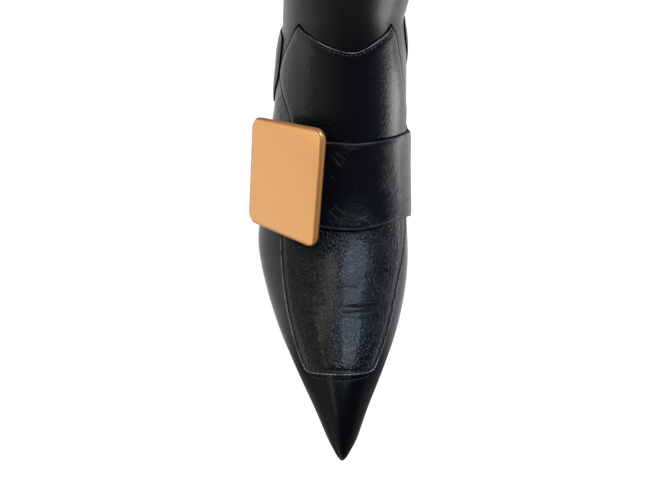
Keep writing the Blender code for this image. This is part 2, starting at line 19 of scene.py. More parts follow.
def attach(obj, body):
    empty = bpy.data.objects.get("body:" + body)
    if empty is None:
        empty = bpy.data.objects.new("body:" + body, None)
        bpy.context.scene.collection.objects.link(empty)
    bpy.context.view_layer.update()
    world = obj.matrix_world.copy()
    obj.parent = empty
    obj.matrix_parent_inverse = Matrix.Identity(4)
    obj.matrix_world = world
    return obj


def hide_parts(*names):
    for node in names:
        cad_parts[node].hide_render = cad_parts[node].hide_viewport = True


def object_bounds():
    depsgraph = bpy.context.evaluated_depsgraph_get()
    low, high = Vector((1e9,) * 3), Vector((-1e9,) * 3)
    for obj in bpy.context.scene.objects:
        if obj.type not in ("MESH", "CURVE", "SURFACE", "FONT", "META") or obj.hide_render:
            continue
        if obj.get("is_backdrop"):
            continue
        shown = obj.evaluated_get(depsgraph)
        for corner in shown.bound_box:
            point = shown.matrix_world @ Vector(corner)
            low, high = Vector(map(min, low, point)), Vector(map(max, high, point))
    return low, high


bl_info = {
    "name": "Ankle Bootie Looks",
    "version": (1, 0, 0),
    "blender": (4, 5, 0),
    "location": "3D View > Sidebar > Bootie",
    "description": "Leather, seams, plate and stage of an ankle bootie around its CAD part",
    "category": "Object",
}

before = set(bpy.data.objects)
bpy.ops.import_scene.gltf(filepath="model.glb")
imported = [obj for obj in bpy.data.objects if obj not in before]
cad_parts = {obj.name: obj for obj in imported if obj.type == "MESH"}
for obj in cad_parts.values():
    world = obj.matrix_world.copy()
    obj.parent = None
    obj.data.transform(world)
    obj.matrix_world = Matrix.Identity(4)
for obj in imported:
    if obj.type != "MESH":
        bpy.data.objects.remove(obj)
CAD_LOW, CAD_HIGH = (Vector(corner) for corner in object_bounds())
BODY = "root"

# Placing and thicknesses of the CAD part
HALF_LENGTH = 0.1320
PLATE_OVERHANG = 0.0068
GAP = 0.0003
PANEL_TOP = 0.0013          # outer face of the two panels above the last
WALL = 0.0018
STRAP = 0.0018
INSOLE = 0.0022
OUTSOLE = 0.0035
TOP_LIFT = 0.0055
PLATE_SIDE = 0.0573
PLATE_THICKNESS = 0.0030
PLATE_CORNER = 0.0062
PLATE_EDGE = 0.0010
PLATE_ROLL = 0.0014         # rounding from its side to its face
PLATE_FACING = math.radians(56.0)
PLATE_LEAN = math.radians(27.3)
PLATE_SPIN = math.radians(27.0)
POST_RADIUS = 0.0026
POST_PLACES = ((-0.011, -0.003), (0.011, -0.003))

# Side line of the sole
TOE_SPRING = 0.0072
TREAD_START = 0.093
TREAD_END = 0.127
HEEL_RISE = 0.0645
SEAT_END = 0.2630
TOE_SWING = 0.0012
SOLE_MARGIN = 0.0010
SOLE_UNDERCUT = 0.0006
SOLE_SET_BACK = 0.0016
SOLE_TOE_ROWS = 2.5
INSOLE_START_ROW = 0.6
INSOLE_MARGIN = 0.0010

# Heel, at its seat and where it meets its top lift
HEEL_BREAST = 0.2030
HEEL_BACK = 0.2605
HEEL_HALF = 0.0284
HEEL_FOOT_BREAST = 0.2090
HEEL_FOOT_BACK = 0.2530
HEEL_FOOT_HALF = 0.0215

# The last of the CAD part
FOOT_COLUMNS = "top_back top_height low_back lateral medial belly edge ridge roof"
FOOT = [
    (-0.0014, 0.0142, -0.0014, 0.0000, 0.0000, 0.55, 0.80, 0.0000, 2.0),
    (0.0022, 0.0182, 0.0022, 0.0036, 0.0036, 0.58, 0.82, 0.0000, 2.0),
    (0.0100, 0.0230, 0.0100, 0.0072, 0.0072, 0.62, 0.86, 0.0000, 2.0),
    (0.0250, 0.0283, 0.0250, 0.0141, 0.0127, 0.66, 0.90, 0.0000, 2.0),
    (0.0450, 0.0325, 0.0450, 0.0242, 0.0212, 0.68, 0.92, 0.0002, 2.0),
    (0.0650, 0.0362, 0.0660, 0.0336, 0.0285, 0.70, 0.93, 0.0008, 1.95),
    (0.0850, 0.0403, 0.0880, 0.0412, 0.0336, 0.72, 0.94, 0.0018, 1.85),
    (0.1020, 0.0462, 0.1090, 0.0466, 0.0363, 0.74, 0.93, 0.0032, 1.70),
    (0.1175, 0.0570, 0.1290, 0.0486, 0.0368, 0.75, 0.90, 0.0045, 1.60),
    (0.1295, 0.0695, 0.1490, 0.0460, 0.0366, 0.75, 0.84, 0.0052, 1.56),
    (0.1395, 0.0820, 0.1685, 0.0430, 0.0362, 0.73, 0.78, 0.0052, 1.58),
    (0.1480, 0.0940, 0.1890, 0.0405, 0.0360, 0.70, 0.74, 0.0048, 1.68),
    (0.1545, 0.1045, 0.2100, 0.0384, 0.0358, 0.66, 0.77, 0.0042, 1.80),
    (0.1595, 0.1135, 0.2340, 0.0361, 0.0351, 0.62, 0.84, 0.0036, 1.90),
    (0.1625, 0.1215, 0.2510, 0.0338, 0.0338, 0.59, 0.62, 0.0030, 1.96),
    (0.1643, 0.1280, 0.2598, 0.0333, 0.0333, 0.56, 0.235, 0.0025, 2.0),
    (0.1655, 0.1330, 0.2610, 0.0327, 0.0346, 0.54, 0.00, 0.0020, 2.0),
]
SHAFT_COLUMNS = "top_back top_height low_back low_height lateral medial belly ridge roof"
SHAFT = [
    (0.1665, 0.1380, 0.2628, 0.0735, 0.0322, 0.0353, 0.53, 0.0016, 2.0),
    (0.1678, 0.1460, 0.2640, 0.0925, 0.0315, 0.0355, 0.52, 0.0012, 2.0),
    (0.1690, 0.1560, 0.2602, 0.1220, 0.0311, 0.0355, 0.51, 0.0008, 2.0),
    (0.1702, 0.1680, 0.2570, 0.1520, 0.0312, 0.0356, 0.50, 0.0004, 2.0),
    (0.1715, 0.1820, 0.2568, 0.1805, 0.0317, 0.0358, 0.50, 0.0000, 2.0),
]
HEEL_WAIST = 12
HEEL_CORNER = len(FOOT) - 1
COLLAR = len(FOOT) + len(SHAFT) - 1
TOE_MIRROR = 3
HALF_WIDTHS = ("lateral", "medial")
WIDEST_TURN = 0.55
INNER_TOE_ROW = 2.0
INNER_TOE_BLEND = 4.0
HEEL_SOFT_ROWS = 2.6
HEEL_SOFT_TURN = 0.26
SLOPE_STEP = 0.05
INCLINE_STEP = 0.0005

# Edges of the panels and of the strap, as in the CAD part
APRON_COLUMNS = "row lateral medial"
APRON = [
    (3.2, 0.332, 0.302),
    (3.8, 0.368, 0.338),
    (4.4, 0.354, 0.350),
    (5.2, 0.332, 0.346),
    (6.0, 0.316, 0.350),
    (7.0, 0.304, 0.374),
    (8.5, 0.298, 0.400),
    (10.0, 0.295, 0.410),
    (10.8, 0.310, 0.404),
    (11.3, 0.341, 0.389),
    (11.7, 0.368, 0.367),
    (12.2, 0.392, 0.334),
    (12.6, 0.378, 0.313),
    (13.0, 0.349, 0.297),
    (13.5, 0.316, 0.284),
    (14.0, 0.290, 0.264),
    (14.3, 0.264, 0.243),
]
TOE_SEAM_ROW = 3.32
TOE_SEAM_BOW = 0.20
TOE_SEAM_CORNER = 0.06
SCALLOP_ROW = 12.79
POINT_ROW = 14.27
SCALLOP_ROUND = 0.22
QUARTER_COLUMNS = "row lateral medial"
QUARTER = [
    (11.6, 0.530, 0.630),
    (11.8, 0.490, 0.622),
    (12.1, 0.430, 0.605),
    (12.5, 0.407, 0.560),
    (12.75, 0.403, 0.505),
    (13.0, 0.402, 0.460),
    (13.25, 0.405, 0.440),
    (13.5, 0.422, 0.431),
    (13.7, 0.472, 0.428),
    (13.9, 0.555, 0.428),
    (14.2, 0.610, 0.436),
    (14.7, 0.634, 0.503),
    (15.3, 0.646, 0.580),
    (16.2, 0.654, 0.632),
    (18.5, 0.660, 0.658),
    (21.0, 0.660, 0.660),
]
QUARTER_HEM = 0.88
QUARTER_CLOSE_ROW = 16.4
STRAP_FRONT_ROW = 7.0
STRAP_BACK_ROW = 9.55
STRAP_SWEEP = 4.5
STRAP_ROUND = 0.2
STRAP_SETTLE = 0.8
STRAP_END = 0.86
STRAP_EASE = 0.07

# Edges of the pieces
LAY = 0.00005               # height of a panel's underside above the leather that it lies on
EDGE_STEPS = (0.0, 0.00008, 0.0002, 0.0004, 0.00065, 0.00095, 0.0013, 0.0017, 0.0022, 0.0028)
PANEL_ROUND = 0.0005        # rounding of a panel's edge
PANEL_THIN = 0.0008         # its thickness there, where it is pared down
PANEL_SKIVE = 0.005         # width over which it is pared
STRAP_EDGE_ROUND = 0.0009
STRAP_THINNED = 0.00035     # how much thinner the strap is at its edges
STRAP_SKIVE = 0.004         # width over which it is pared
COLLAR_ROUND = 0.0016
LINING_SHARE = 0.5          # share of the wall that is lining
LINING_GAP = 0.03           # share of the wall between the outer leather and the lining
INSOLE_ROUND = 0.0008
HEEL_ROUND = 0.0007
LIFT_ROUND = 0.0005
PLATE_BACK_ROUND = 0.7      # share of the plate's edge by which its back is rounded
PLATE_FACE_CORNER = 0.0012  # smallest corner of the rings on its face
PLATE_FACE_INSETS = (0.0020, 0.0026, 0.0036, 0.005, 0.008, 0.012, 0.016, 0.020, 0.024, 0.027)
PLATE_BACK_INSETS = (0.014, 0.004)
SHARP_EDGE = 40             # degrees at which two faces of the heel meet in an edge
PLATE_SHARP_EDGE = 50

# Seams
RIDGE_FADE_ROWS = (10.4, 11.4)   # the rolled seam of the apron fades out between these rows
RIDGE_FULLNESS = 0.62       # width of its round, as a share of half its width
RIDGE_BEADS = 0.22          # half the share of its height that its stitches pull in
RIDGE_GROOVE = 0.00022      # depth of the groove inside it; its place and width, in widths of the seam
RIDGE_GROOVE_PLACE = 1.75
RIDGE_GROOVE_WIDTH = 0.4
WALL_SEAM_ROW = 11.53       # back edge of the front wall, where it comes out from under the front panel
WALL_SEAM_SLOPE = 2.2       # rows that this edge runs forward for each share of the way round
WALL_SEAM_TURN = 0.37       # turn at which it lies at its row
WALL_SEAM_TURNS = (0.30, 0.62)   # turns at which it starts and ends, and over which it fades there
WALL_SEAM_ENDS = (0.03, 0.08)
WALL_SEAM_STEP = 0.0005
WALL_SEAM_ROUND = 0.0005    # rounding of its step, and width of its raw edge
WALL_SEAM_FADE = 0.010
TOE_STITCH_AHEAD = 0.0017   # stitches of the toe seam in front of the panel's edge
TOE_GROOVE = 0.00018        # depth to which they pull the leather in
TOE_GROOVE_ENDS = (1.05, 0.95)   # shares of the panel's half width where this ends and where it is full
EDGE_STITCH_IN = 0.0014     # stitches along the scallop, in from its edge
EDGE_GROOVE = 0.00010
GROOVE_WIDTH = 0.0004
QUARTER_JOIN = 0.00028      # depth of the seam down the back, and its width
QUARTER_JOIN_WIDTH = 0.0005
COLLAR_STITCH_DOWN = 0.0030
STITCH_BED = 0.0001         # how deep the stitches lie in the leather
COLLAR_STITCH_BED = 0.00005
TOE_STITCH_SPAN = 0.97      # shares of the panel's half width that the stitches reach
EDGE_STITCH_SPAN = 0.93
EDGE_STITCH_SLANT = 1.15    # reach along the crown for each distance in from the slanting scallop
COLLAR_STITCH_CLEAR = (0.02, 0.03)    # turns between the collar's stitches and the back panel's edge
COLLAR_STITCH_END = 0.995   # turn at which they end at the back

# Lighter and matte black marks of the leather: rubbed wear, painted highlights, raw edges and painted shade
RAW_AND_SHADED_EDGE = 0.00022          # width of the raw black edge of the back panel and of the scallop, which also serves as painted shade along these seams
TONGUE_SIDE_SHADE = 0.0018    # and of the painted shade, a matte black band far wider than a raw edge, along the sides of the upper part of the front panel
STRAP_RAW_EDGE = 0.0005     # width of the raw black edge of the strap
STRAP_RAW_SHARE = 0.8
COLLAR_RUBBED = (0.2, 0.0012)    # how strongly an edge is rubbed, and over which width
# lighter line along the strap's edges: rubbed wear and painted highlight
STRAP_WEAR_AND_HIGHLIGHT = (0.12, 0.0004)
STRAP_WEAR_AND_HIGHLIGHT_IN = 0.0007    # distance from the edge of the strap's lighter line, rubbed wear and painted highlight
# painted highlight: a thin light line along the scallop
SCALLOP_HIGHLIGHT = (0.8, 0.00018)
SCALLOP_HIGHLIGHT_IN = 0.0004
SCALLOP_HIGHLIGHT_ACROSS = (0.75, 0.45)    # shares of the half width where it starts and is full
# painted highlight: light dashes along the top of the rolled seam
RIDGE_HIGHLIGHT_WIDTH = 0.00021
RIDGE_HIGHLIGHT_BETWEEN = 0.35      # share of the painted highlight that is left between two beads
RIDGE_HIGHLIGHT_BEADS = (0.66, 0.90)
TONGUE_ROWS = (8.0, 11.0)   # the apron's grain and wrinkles turn into the smoother tongue's
TONGUE_GRAIN_LOSS = 0.65
TONGUE_WRINKLE_LOSS = 0.8
TOE_SHADE_REACH = (0.044, 0.076)   # reach over which the painted shade down the toe's sides fades out into full glaze
TOE_SHADE_SHARE = 0.85
TOE_UNSHADED_STRIP = (0.16, 0.11)   # middle and half width of the strip, by its turns, that is kept out of the painted shade
TOE_UNSHADED_SHARE = 0.9
# share of matte black over the shaft, coming in over these rows
SHAFT_MATTE_ROWS = (HEEL_WAIST, HEEL_WAIST + 2)
SHAFT_MATTE_SHARE = 0.28

# Grids of the pieces: about how long a piece is and the spacing of its points
APRON_ACROSS = (0.072, 0.00078)
APRON_ALONG = (0.190, 0.00056)
QUARTER_AROUND = (0.095, 0.0011)
STRAP_ACROSS = (0.046, 0.00062)
BOARD_ACROSS = (0.07, 0.003)
TOE_SEAM_CLOSE = 0.004      # reach ahead of the toe seam from which the upper's rows are closer
WALL_SEAM_CLOSE = (11.0, 11.6)   # rows between which they are closest
COLLAR_CLOSE = 20.88        # row from which they are close up to the collar
QUARTER_GRID_ROWS = (13.5, 20.86)    # rows where the spacing of the back panel's rows changes
STRAP_STEPS = 380
HEEL_CLOSE_RING = 0.015     # share of the heel's height between each end and the next ring
OUTWARD_STEP = 0.001        # steps by which directions are found
STITCH_STEP = 0.0002
SAME_POINT = 1e-6           # points this close together are joined
TINY = 1e-9

# Creases: heading in degrees, bow of the ends, and a negative depth for a ridge
Crease = namedtuple("Crease", "reach around length heading bow width depth")
CREASE_TAPER = 1.6          # how quickly a crease comes in from its ends
UPPER_SPREAD = 0.006        # how far fine wrinkles spread around the creases
APRON_SPREAD = 0.005
QUARTER_SPREAD = 0.008
STRAP_SPREAD = 0.004
QUARTER_WRINKLES = 0.6      # share of the fine wrinkles that the back panel has
APRON_CREASES = [
    (0.0712, -0.0130, 0.036, -16, 0.0022, 0.0017, 0.00050),
    (0.0772, -0.0145, 0.026, -12, 0.0015, 0.0016, -0.00022),
    (0.0812, -0.0019, 0.015, -2, 0.0004, 0.0009, 0.00024),
    (0.0832, -0.0040, 0.012, -6, 0.0003, 0.0008, 0.00017),
    (0.0792, -0.0010, 0.009, 5, 0.0002, 0.0007, 0.00013),
    (0.0640, -0.0160, 0.018, -18, 0.0016, 0.0016, 0.00016),
    (0.0740, 0.0150, 0.018, 15, 0.0012, 0.0014, 0.00010),
    (0.0690, 0.0170, 0.012, 18, 0.0010, 0.0010, 0.00012),
    (0.1050, -0.0140, 0.022, -6, 0.0010, 0.0012, 0.00010),
    (0.1020, -0.0180, 0.015, -10, 0.0006, 0.0010, 0.00008),
    (0.1035, 0.0150, 0.018, 8, 0.0008, 0.0010, 0.00007),
    (0.1790, -0.0100, 0.015, 8, 0.0004, 0.0009, 0.00004),
    (0.1865, -0.0030, 0.020, -5, 0.0006, 0.0011, 0.00005),
    (0.1930, -0.0060, 0.015, 3, 0.0003, 0.0010, 0.00004),
    (0.1760, 0.0220, 0.016, -18, 0.0005, 0.0010, 0.00004),
]
UPPER_CREASES = [
    (0.1765, 0.0500, 0.010, 60, 0.0004, 0.0006, 0.00024),
    (0.1748, 0.0530, 0.008, 40, 0.0002, 0.0006, 0.00020),
    (0.1782, 0.0545, 0.007, -20, 0.0002, 0.0006, 0.00020),
    (0.1738, 0.0490, 0.009, 75, 0.0002, 0.0007, 0.00016),
    (0.0705, 0.0360, 0.014, 24, 0.0006, 0.0013, 0.00024),
    (0.0780, 0.0400, 0.012, 30, 0.0006, 0.0011, 0.00016),
    (0.0745, -0.0360, 0.014, -24, 0.0006, 0.0013, 0.00022),
    (0.0830, -0.0390, 0.011, -30, 0.0005, 0.0011, 0.00014),
]
QUARTER_CREASES = [
    (0.1955, 0.0840, 0.040, 10, 0.0030, 0.0028, 0.00036),
    (0.2040, 0.0900, 0.034, 6, 0.0024, 0.0026, 0.00026),
    (0.1965, -0.0840, 0.038, -10, 0.0030, 0.0028, 0.00034),
    (0.2050, -0.0900, 0.030, -6, 0.0024, 0.0026, 0.00024),
]
STRAP_CREASES = [
    (0.1140, -0.0010, 0.024, 3, 0.0005, 0.0007, 0.00008),
    (0.1178, -0.0060, 0.015, 14, 0.0003, 0.0006, 0.00007),
    (0.1165, 0.0050, 0.011, -30, 0.0002, 0.0006, 0.00007),
    (0.1400, -0.0195, 0.020, -52, 0.0006, 0.0009, 0.00006),
    (0.1335, -0.0215, 0.017, -56, 0.0005, 0.0008, 0.00005),
    (0.1270, -0.0240, 0.014, -48, 0.0004, 0.0008, 0.00005),
    (0.1480, 0.0070, 0.010, 38, 0.0002, 0.0006, 0.00012),
    (0.1515, 0.0030, 0.009, -34, 0.0002, 0.0005, 0.00010),
]

# Hairline scratches of the strap: reach and around of both ends
STRAP_SCRATCHES = [
    (0.1530, 0.0112, 0.1452, 0.0018),
    (0.1508, 0.0118, 0.1442, 0.0062),
    (0.1476, 0.0104, 0.1432, 0.0052),
    (0.1405, 0.0118, 0.1370, 0.0086),
    (0.1250, 0.0100, 0.1168, 0.0010),
    (0.1216, 0.0112, 0.1150, 0.0048),
    (0.1196, -0.0096, 0.1146, -0.0006),
    (0.1178, -0.0030, 0.1124, -0.0128),
    (0.1478, -0.0150, 0.1308, -0.0232),
    (0.1420, -0.0156, 0.1316, -0.0214),
    (0.1376, -0.0196, 0.1276, -0.0226),
]
SCRATCH_WIDTH = 0.00018     # half the width of a scratch
SCRATCH_WANDER = 0.0010     # how far it strays from a straight line
SCRATCH_FULL = (0.3, 0.6)   # shares of its length between which it isn't faded
CRACKLE_WIDTH = 0.0040      # half the width of the finely wrinkled leather around it
CRACKLE_ENDS = 1 / 6        # share of its length over which this fades at each end
CRACKLE_SHARE = 0.8

# Patterns of the calf: sizes, stretches along each axis, and limits
CLOUD_SIZE = 0.018          # slow changes of its gloss
WANDER_SIZE = 0.006         # where its marks come and go
FINE_GRAIN = 0.45           # size of its finest grain, in grains, and its share of their depth
FINE_DEPTH = 0.5
SCRATCH_DEPTH = 0.5         # depth of a scratch, as a share of theirs
GRAIN_RISE = 0.30           # distance from a grain's edge at which it is full, in grains
LONG_WRINKLES = 0.0034
LONG_STRETCH = (1.0, 0.53, 0.62)
LONG_WIDTH = 0.05           # width of a wrinkle as a share of its cell
SHORT_WRINKLES = 0.0019
SHORT_STRETCH = (0.6, 1.0, 0.83)
SHORT_WIDTH = 0.07
SHORT_SHARE = 0.7
WRINKLED = (0.32, 0.62)     # values of the wandering noise from none to all
WEAR_AND_HIGHLIGHT_SPAN = (0.22, 0.62)
SPECK_SPACING = 0.0065
SPECK_LIMITS = (0.008, 0.028)    # shares of the spacing between which a speck ends

# How much the marks change the calf: their share of its lighter colour of wear and painted highlights, and
# its roughness
SCRATCH_RUBBED = 0.15
SPECK_RUBBED = 0.5
CLOUD_ROUGH = 0.10
GRAIN_ROUGH = 0.05
WRINKLE_ROUGH = 0.06
WEAR_AND_HIGHLIGHT_ROUGH = 0.10
SMOOTH_ROUGH = 0.14         # where the leather has lost its grain
RAW_AND_SHADE_ROUGH = 0.6

# Patterns of the other materials
PLAIN_CLOUD_SIZE = 0.012
PLAIN_FINE_GRAIN = 0.6
PLAIN_FINE_DEPTH = 0.6
PLAIN_GRAIN_RISE = 0.35
PLAIN_DARK = 0.6            # its darker clouds as a share of its colour
PLAIN_CLOUD_SHARE = 0.45
PLAIN_CLOUD_ROUGH = 0.16
METAL_CLOUD_SIZE = 0.010
METAL_CLOUD_ROUGH = 0.05
METAL_CLOUD_SHARE = 0.3     # share of the deep colour in a cloud, and on the rim
METAL_RIM_SHARE = 0.5
METAL_HAZE_SIZE = 0.004
METAL_HAZE_STRETCH = (1.0, 0.17, 1.0)
METAL_HAZE_TURN = (0.5, 0.3, 0.9)
METAL_HAZE_ROUGH = 0.03
METAL_RIM_ROUGH = 0.50
METAL_BACK_ROUGH = 0.40
STRAND_SIZE = 0.0003
STRAND_STRETCH = (1.0, 1.0, 0.33)
STRAND_TURN = (0.6, 0.4, 0.3)
STRAND_DEPTH = 0.00004
STRAND_ROUGH = 0.15
THREAD_ROUGH = 0.38
RUBBER_CLOUD_SIZE = 0.005
RUBBER_GRAIN_SIZE = 0.0006
RUBBER_GRAIN_DEPTH = 0.00003
RUBBER_WORN = 1.6           # its worn clouds as a multiple of its colour
RUBBER_WORN_SHARE = 0.5
RUBBER_ROUGH = 0.68
RUBBER_CLOUD_ROUGH = 0.15

# Camera: the photo's own, by its place, its tilt from straight down and its lens
CAMERA_PLACE = (0.00229, -0.19587, 0.26699)
CAMERA_TILT = 35.0
CAMERA_LENS = 29.07
CAMERA_SENSOR = 36.0
CAMERA_NEAR = 0.01

# Light table under the shoe: the floor glows in an ellipse round this middle and fades towards its edge
GLOW_HALF_WIDTH = 0.90
GLOW_HALF_LENGTH = 0.50
GLOW_BACK = 0.20
GLOW_ASIDE = 0.12
GLOW_EDGE = (0.8, 1.2)      # it fades between these shares of the ellipse
GLOW_FAR = 0.40             # share of the glow that is left beyond it

# Flat lights: place, width and length, and colour; those without a heading face the shoe
SHOE = Vector((PLATE_OVERHANG, -0.06, 0.04))
SIDE_LIGHT = ((0.50, 0.10, 0.003), (0.56, 0.20), (0.99, 0.99, 1.0))
SIDE_HEADING = 15.0
PLATE_LIGHT = ((-1.0, 0.08, 0.14), (0.62, 0.36), (1.0, 0.99, 0.97))
COOL_LIGHT = ((0.22, 0.05, 0.95), (0.45, 0.50), (0.64, 0.81, 1.0))
WARM_STRIPS = [(-0.40, 0.06, 0.52, -76.0), (-0.69, -0.32, 0.56, -12.0)]  # plan, length and heading
WARM_HEIGHT = 0.90
WARM_WIDTH = 0.10
WARM_COLOUR = (1.0, 0.86, 0.64)

# Surround: greys from straight down to straight up, its tint, and where the outer side starts and is full
SURROUND_GREYS = [(0.0, 1.0), (0.50, 1.0), (0.65, 0.3), (1.0, 0.1)]
SURROUND_TINT = (0.92, 0.97, 1.0)
LEFT_WALL = (0.3, 0.9)


def table(columns, rows):
    """A table as one array for each named column."""
    return {name: np.array(values) for name, values in zip(columns.split(), zip(*rows))}


def spline(knots, values, place):
    """A natural cubic through values at the knots."""
    knots = np.asarray(knots, float)
    values = np.asarray(values, float)
    gaps = np.diff(knots)
    count = len(knots)
    system = np.eye(count)
    bend = np.zeros(count)
    for i in range(1, count - 1):
        system[i, i - 1:i + 2] = gaps[i - 1], 2.0 * (gaps[i - 1] + gaps[i]), gaps[i]
        bend[i] = 6.0 * np.diff(np.diff(values[i - 1:i + 2]) / gaps[i - 1:i + 1])[0]
    bend = np.linalg.solve(system, bend)
    place = np.clip(np.asarray(place, float), knots[0], knots[-1])
    step = np.clip(np.searchsorted(knots, place, side="right") - 1, 0, count - 2)
    after = (place - knots[step]) / gaps[step]
    before = 1.0 - after
    curve = (before ** 3 - before) * bend[step] + (after ** 3 - after) * bend[step + 1]
    return before * values[step] + after * values[step + 1] + curve * gaps[step] ** 2 / 6.0


def ease(share):
    """A smooth step from 0 to 1."""
    share = np.clip(share, 0.0, 1.0)
    return share ** 2 * (3.0 - 2.0 * share)


def step_over(value, span):
    """A smooth step from 0 at the start of a span to 1 at its end."""
    start, end = span
    return ease((value - start) / (end - start))


def bell(distance, width, power=2):
    """A soft line: 1 at no distance, fading over about this width; a higher power has a flatter top."""
    return np.exp(-(distance / width) ** power)


def quarter_round(distance, radius):
    """How far a round edge has risen at a distance in from it, as a share of its radius."""
    corner = np.clip(distance / radius, 0, 1)
    return np.sqrt(1 - (1 - corner) ** 2)


def feather_height(back):
    """Height of the feather edge at a distance behind the toe."""
    spring = TOE_SPRING * np.clip((TREAD_START - back) / TREAD_START, 0.0, None) ** 2
    rise = HEEL_RISE * ease((back - TREAD_END) / (SEAT_END - TREAD_END))
    return OUTSOLE + GAP + spring + rise


def feather_incline(back):
    """Angle at which the feather edge rises towards the heel."""
    rise = feather_height(back + INCLINE_STEP) - feather_height(back - INCLINE_STEP)
    return np.arctan2(rise, 2 * INCLINE_STEP)


def last_columns():
    """Every column of the last over all its rows, foot and shaft together."""
    foot = table(FOOT_COLUMNS, FOOT)
    shaft = table(SHAFT_COLUMNS, SHAFT)
    foot["low_height"] = feather_height(foot["low_back"])
    shaft["edge"] = np.zeros(len(SHAFT))
    return {name: np.concatenate([foot[name], shaft[name]]) for name in foot}


LAST = last_columns()


def from_toe(name):
    """A column of the last with its first rows mirrored ahead of the toe, so that the toe ends round."""
    ahead = LAST[name][TOE_MIRROR:0:-1]
    return np.concatenate([-ahead if name in HALF_WIDTHS else ahead, LAST[name]])


def through_rows(name, row):
    """A column of the last, smooth through all its rows."""
    return spline(np.arange(-TOE_MIRROR, COLLAR + 1), from_toe(name), row)


def to_heel_corner(name, row):
    """A column of the lower line, which comes to rest at the heel corner from both sides."""
    values = LAST[name]
    reach = COLLAR - HEEL_CORNER
    to_corner = from_toe(name)[:TOE_MIRROR + HEEL_CORNER + 1]
    before = np.concatenate([to_corner, values[HEEL_CORNER - reach:HEEL_CORNER][::-1]])
    behind = np.concatenate([values[HEEL_CORNER + 1:][::-1], values[HEEL_CORNER:]])
    under_foot = spline(np.arange(len(before)) - TOE_MIRROR, before, np.minimum(row, HEEL_CORNER))
    up_the_back = spline(np.arange(len(behind)), behind, np.maximum(row, HEEL_CORNER) - HEEL_CORNER + reach)
    return np.where(row <= HEEL_CORNER, under_foot, up_the_back)


def crown_direction(row):
    """Unit direction, back and up, of the crown line."""
    row = np.clip(row, SLOPE_STEP, COLLAR - SLOPE_STEP)
    back = through_rows("top_back", row + SLOPE_STEP) - through_rows("top_back", row - SLOPE_STEP)
    up = through_rows("top_height", row + SLOPE_STEP) - through_rows("top_height", row - SLOPE_STEP)
    length = np.hypot(back, up)
    return back / length, up / length


def section_point(row, turn, inset):
    """A point of the last, straight from its sections."""
    row, turn, inset = np.broadcast_arrays(*(np.asarray(value, float) for value in (row, turn, inset)))
    edge = np.where(row < HEEL_CORNER, np.maximum(to_heel_corner("edge", row), 0.0), 0.0)
    half = np.where(turn > 0.0, through_rows("lateral", row), through_rows("medial", row))
    belly = through_rows("belly", row)
    along, up = crown_direction(row)
    top_back = through_rows("top_back", row) + inset * up
    top_height = through_rows("top_height", row) - inset * along
    round_heel = np.where(row > HEEL_WAIST, np.clip(1.0 - edge / LAST["edge"][HEEL_WAIST], 0.0, 1.0), 0.0)
    low_back = to_heel_corner("low_back", row) - inset * round_heel
    low_height = to_heel_corner("low_height", row)
    inner_half = np.maximum(half - inset, 0.0)
    share = np.abs(turn)
    over = np.clip(share / WIDEST_TURN, 0.0, 1.0) * math.pi / 2
    arc = np.arccos(edge)
    under = np.clip((share - WIDEST_TURN) / (1.0 - WIDEST_TURN), 0.0, 1.0) * arc
    above = share <= WIDEST_TURN
    power = 2.0 / np.where(turn > 0.0, through_rows("roof", row), 2.0)
    side = np.where(turn > 0.0, -1.0, 1.0)
    ridge = through_rows("ridge", row)
    slope_x = ridge + (side * inner_half - ridge) * np.sin(over) ** power
    across = np.where(above, slope_x, side * inner_half * np.cos(under))
    fall = belly * (1.0 - np.maximum(np.cos(over), 0.0) ** power)
    down = np.where(above, fall, belly + (1.0 - belly) * np.sin(under) / np.sin(arc))
    swing = -TOE_SWING * np.clip(1.0 - through_rows("top_back", row) / TREAD_START, 0.0, None)
    x = swing + across
    back = top_back + (low_back - top_back) * down
    height = top_height + (low_height - top_height) * down
    return np.stack([x + PLATE_OVERHANG, back - HALF_LENGTH, height], axis=-1)


def last_point(row, turn, inset=0.0):
    """A point of the last: turn runs from -1 (medial edge) over 0 (crown) to 1 (lateral edge).

    A positive inset lies inside the last and a negative one around it.
    """
    near_corner = ease(1.0 - np.abs(np.asarray(row) - HEEL_CORNER) / HEEL_SOFT_ROWS)
    reach = near_corner * ease((1.0 - np.abs(turn)) / HEEL_SOFT_TURN)
    middle = section_point(row, turn, inset)
    before = section_point(row - reach, turn, inset)
    behind = section_point(row + reach, turn, inset)
    return (before + 2.0 * middle + behind) / 4.0


def lining_point(row, turn):
    """The inside of the upper: parallel to the last, with a round end behind the filled toe tip."""
    row, turn = np.broadcast_arrays(np.asarray(row, float), np.asarray(turn, float))
    ahead = np.clip(1.0 - row / INNER_TOE_BLEND, 0.0, 1.0)
    inner_row = row + INNER_TOE_ROW * ahead ** 2
    point = last_point(inner_row, turn, WALL)
    middle = last_point(inner_row, 0.0, WALL)
    point[..., 0] = middle[..., 0] + (point[..., 0] - middle[..., 0]) * np.sqrt(1.0 - ahead ** 2)
    return point


def apron_edges(row):
    """Lateral and medial edge of the front panel, as shares of the way round."""
    edges = table(APRON_COLUMNS, APRON)
    return spline(edges["row"], edges["lateral"], row), spline(edges["row"], edges["medial"], row)


def apron_ends(across):
    """First and last row of the front panel at a share of its half width."""
    start = TOE_SEAM_ROW + TOE_SEAM_BOW * across ** 2 + TOE_SEAM_CORNER * across ** 8
    dip = np.hypot(across, SCALLOP_ROUND) - SCALLOP_ROUND
    dip = dip / (math.hypot(1, SCALLOP_ROUND) - SCALLOP_ROUND)
    return start, SCALLOP_ROW + (POINT_ROW - SCALLOP_ROW) * dip


def apron_turns(rows, across):
    """Turns of the front panel at shares of its half width."""
    lateral, medial = apron_edges(rows)
    return np.where(across > 0, across * lateral, across * medial)


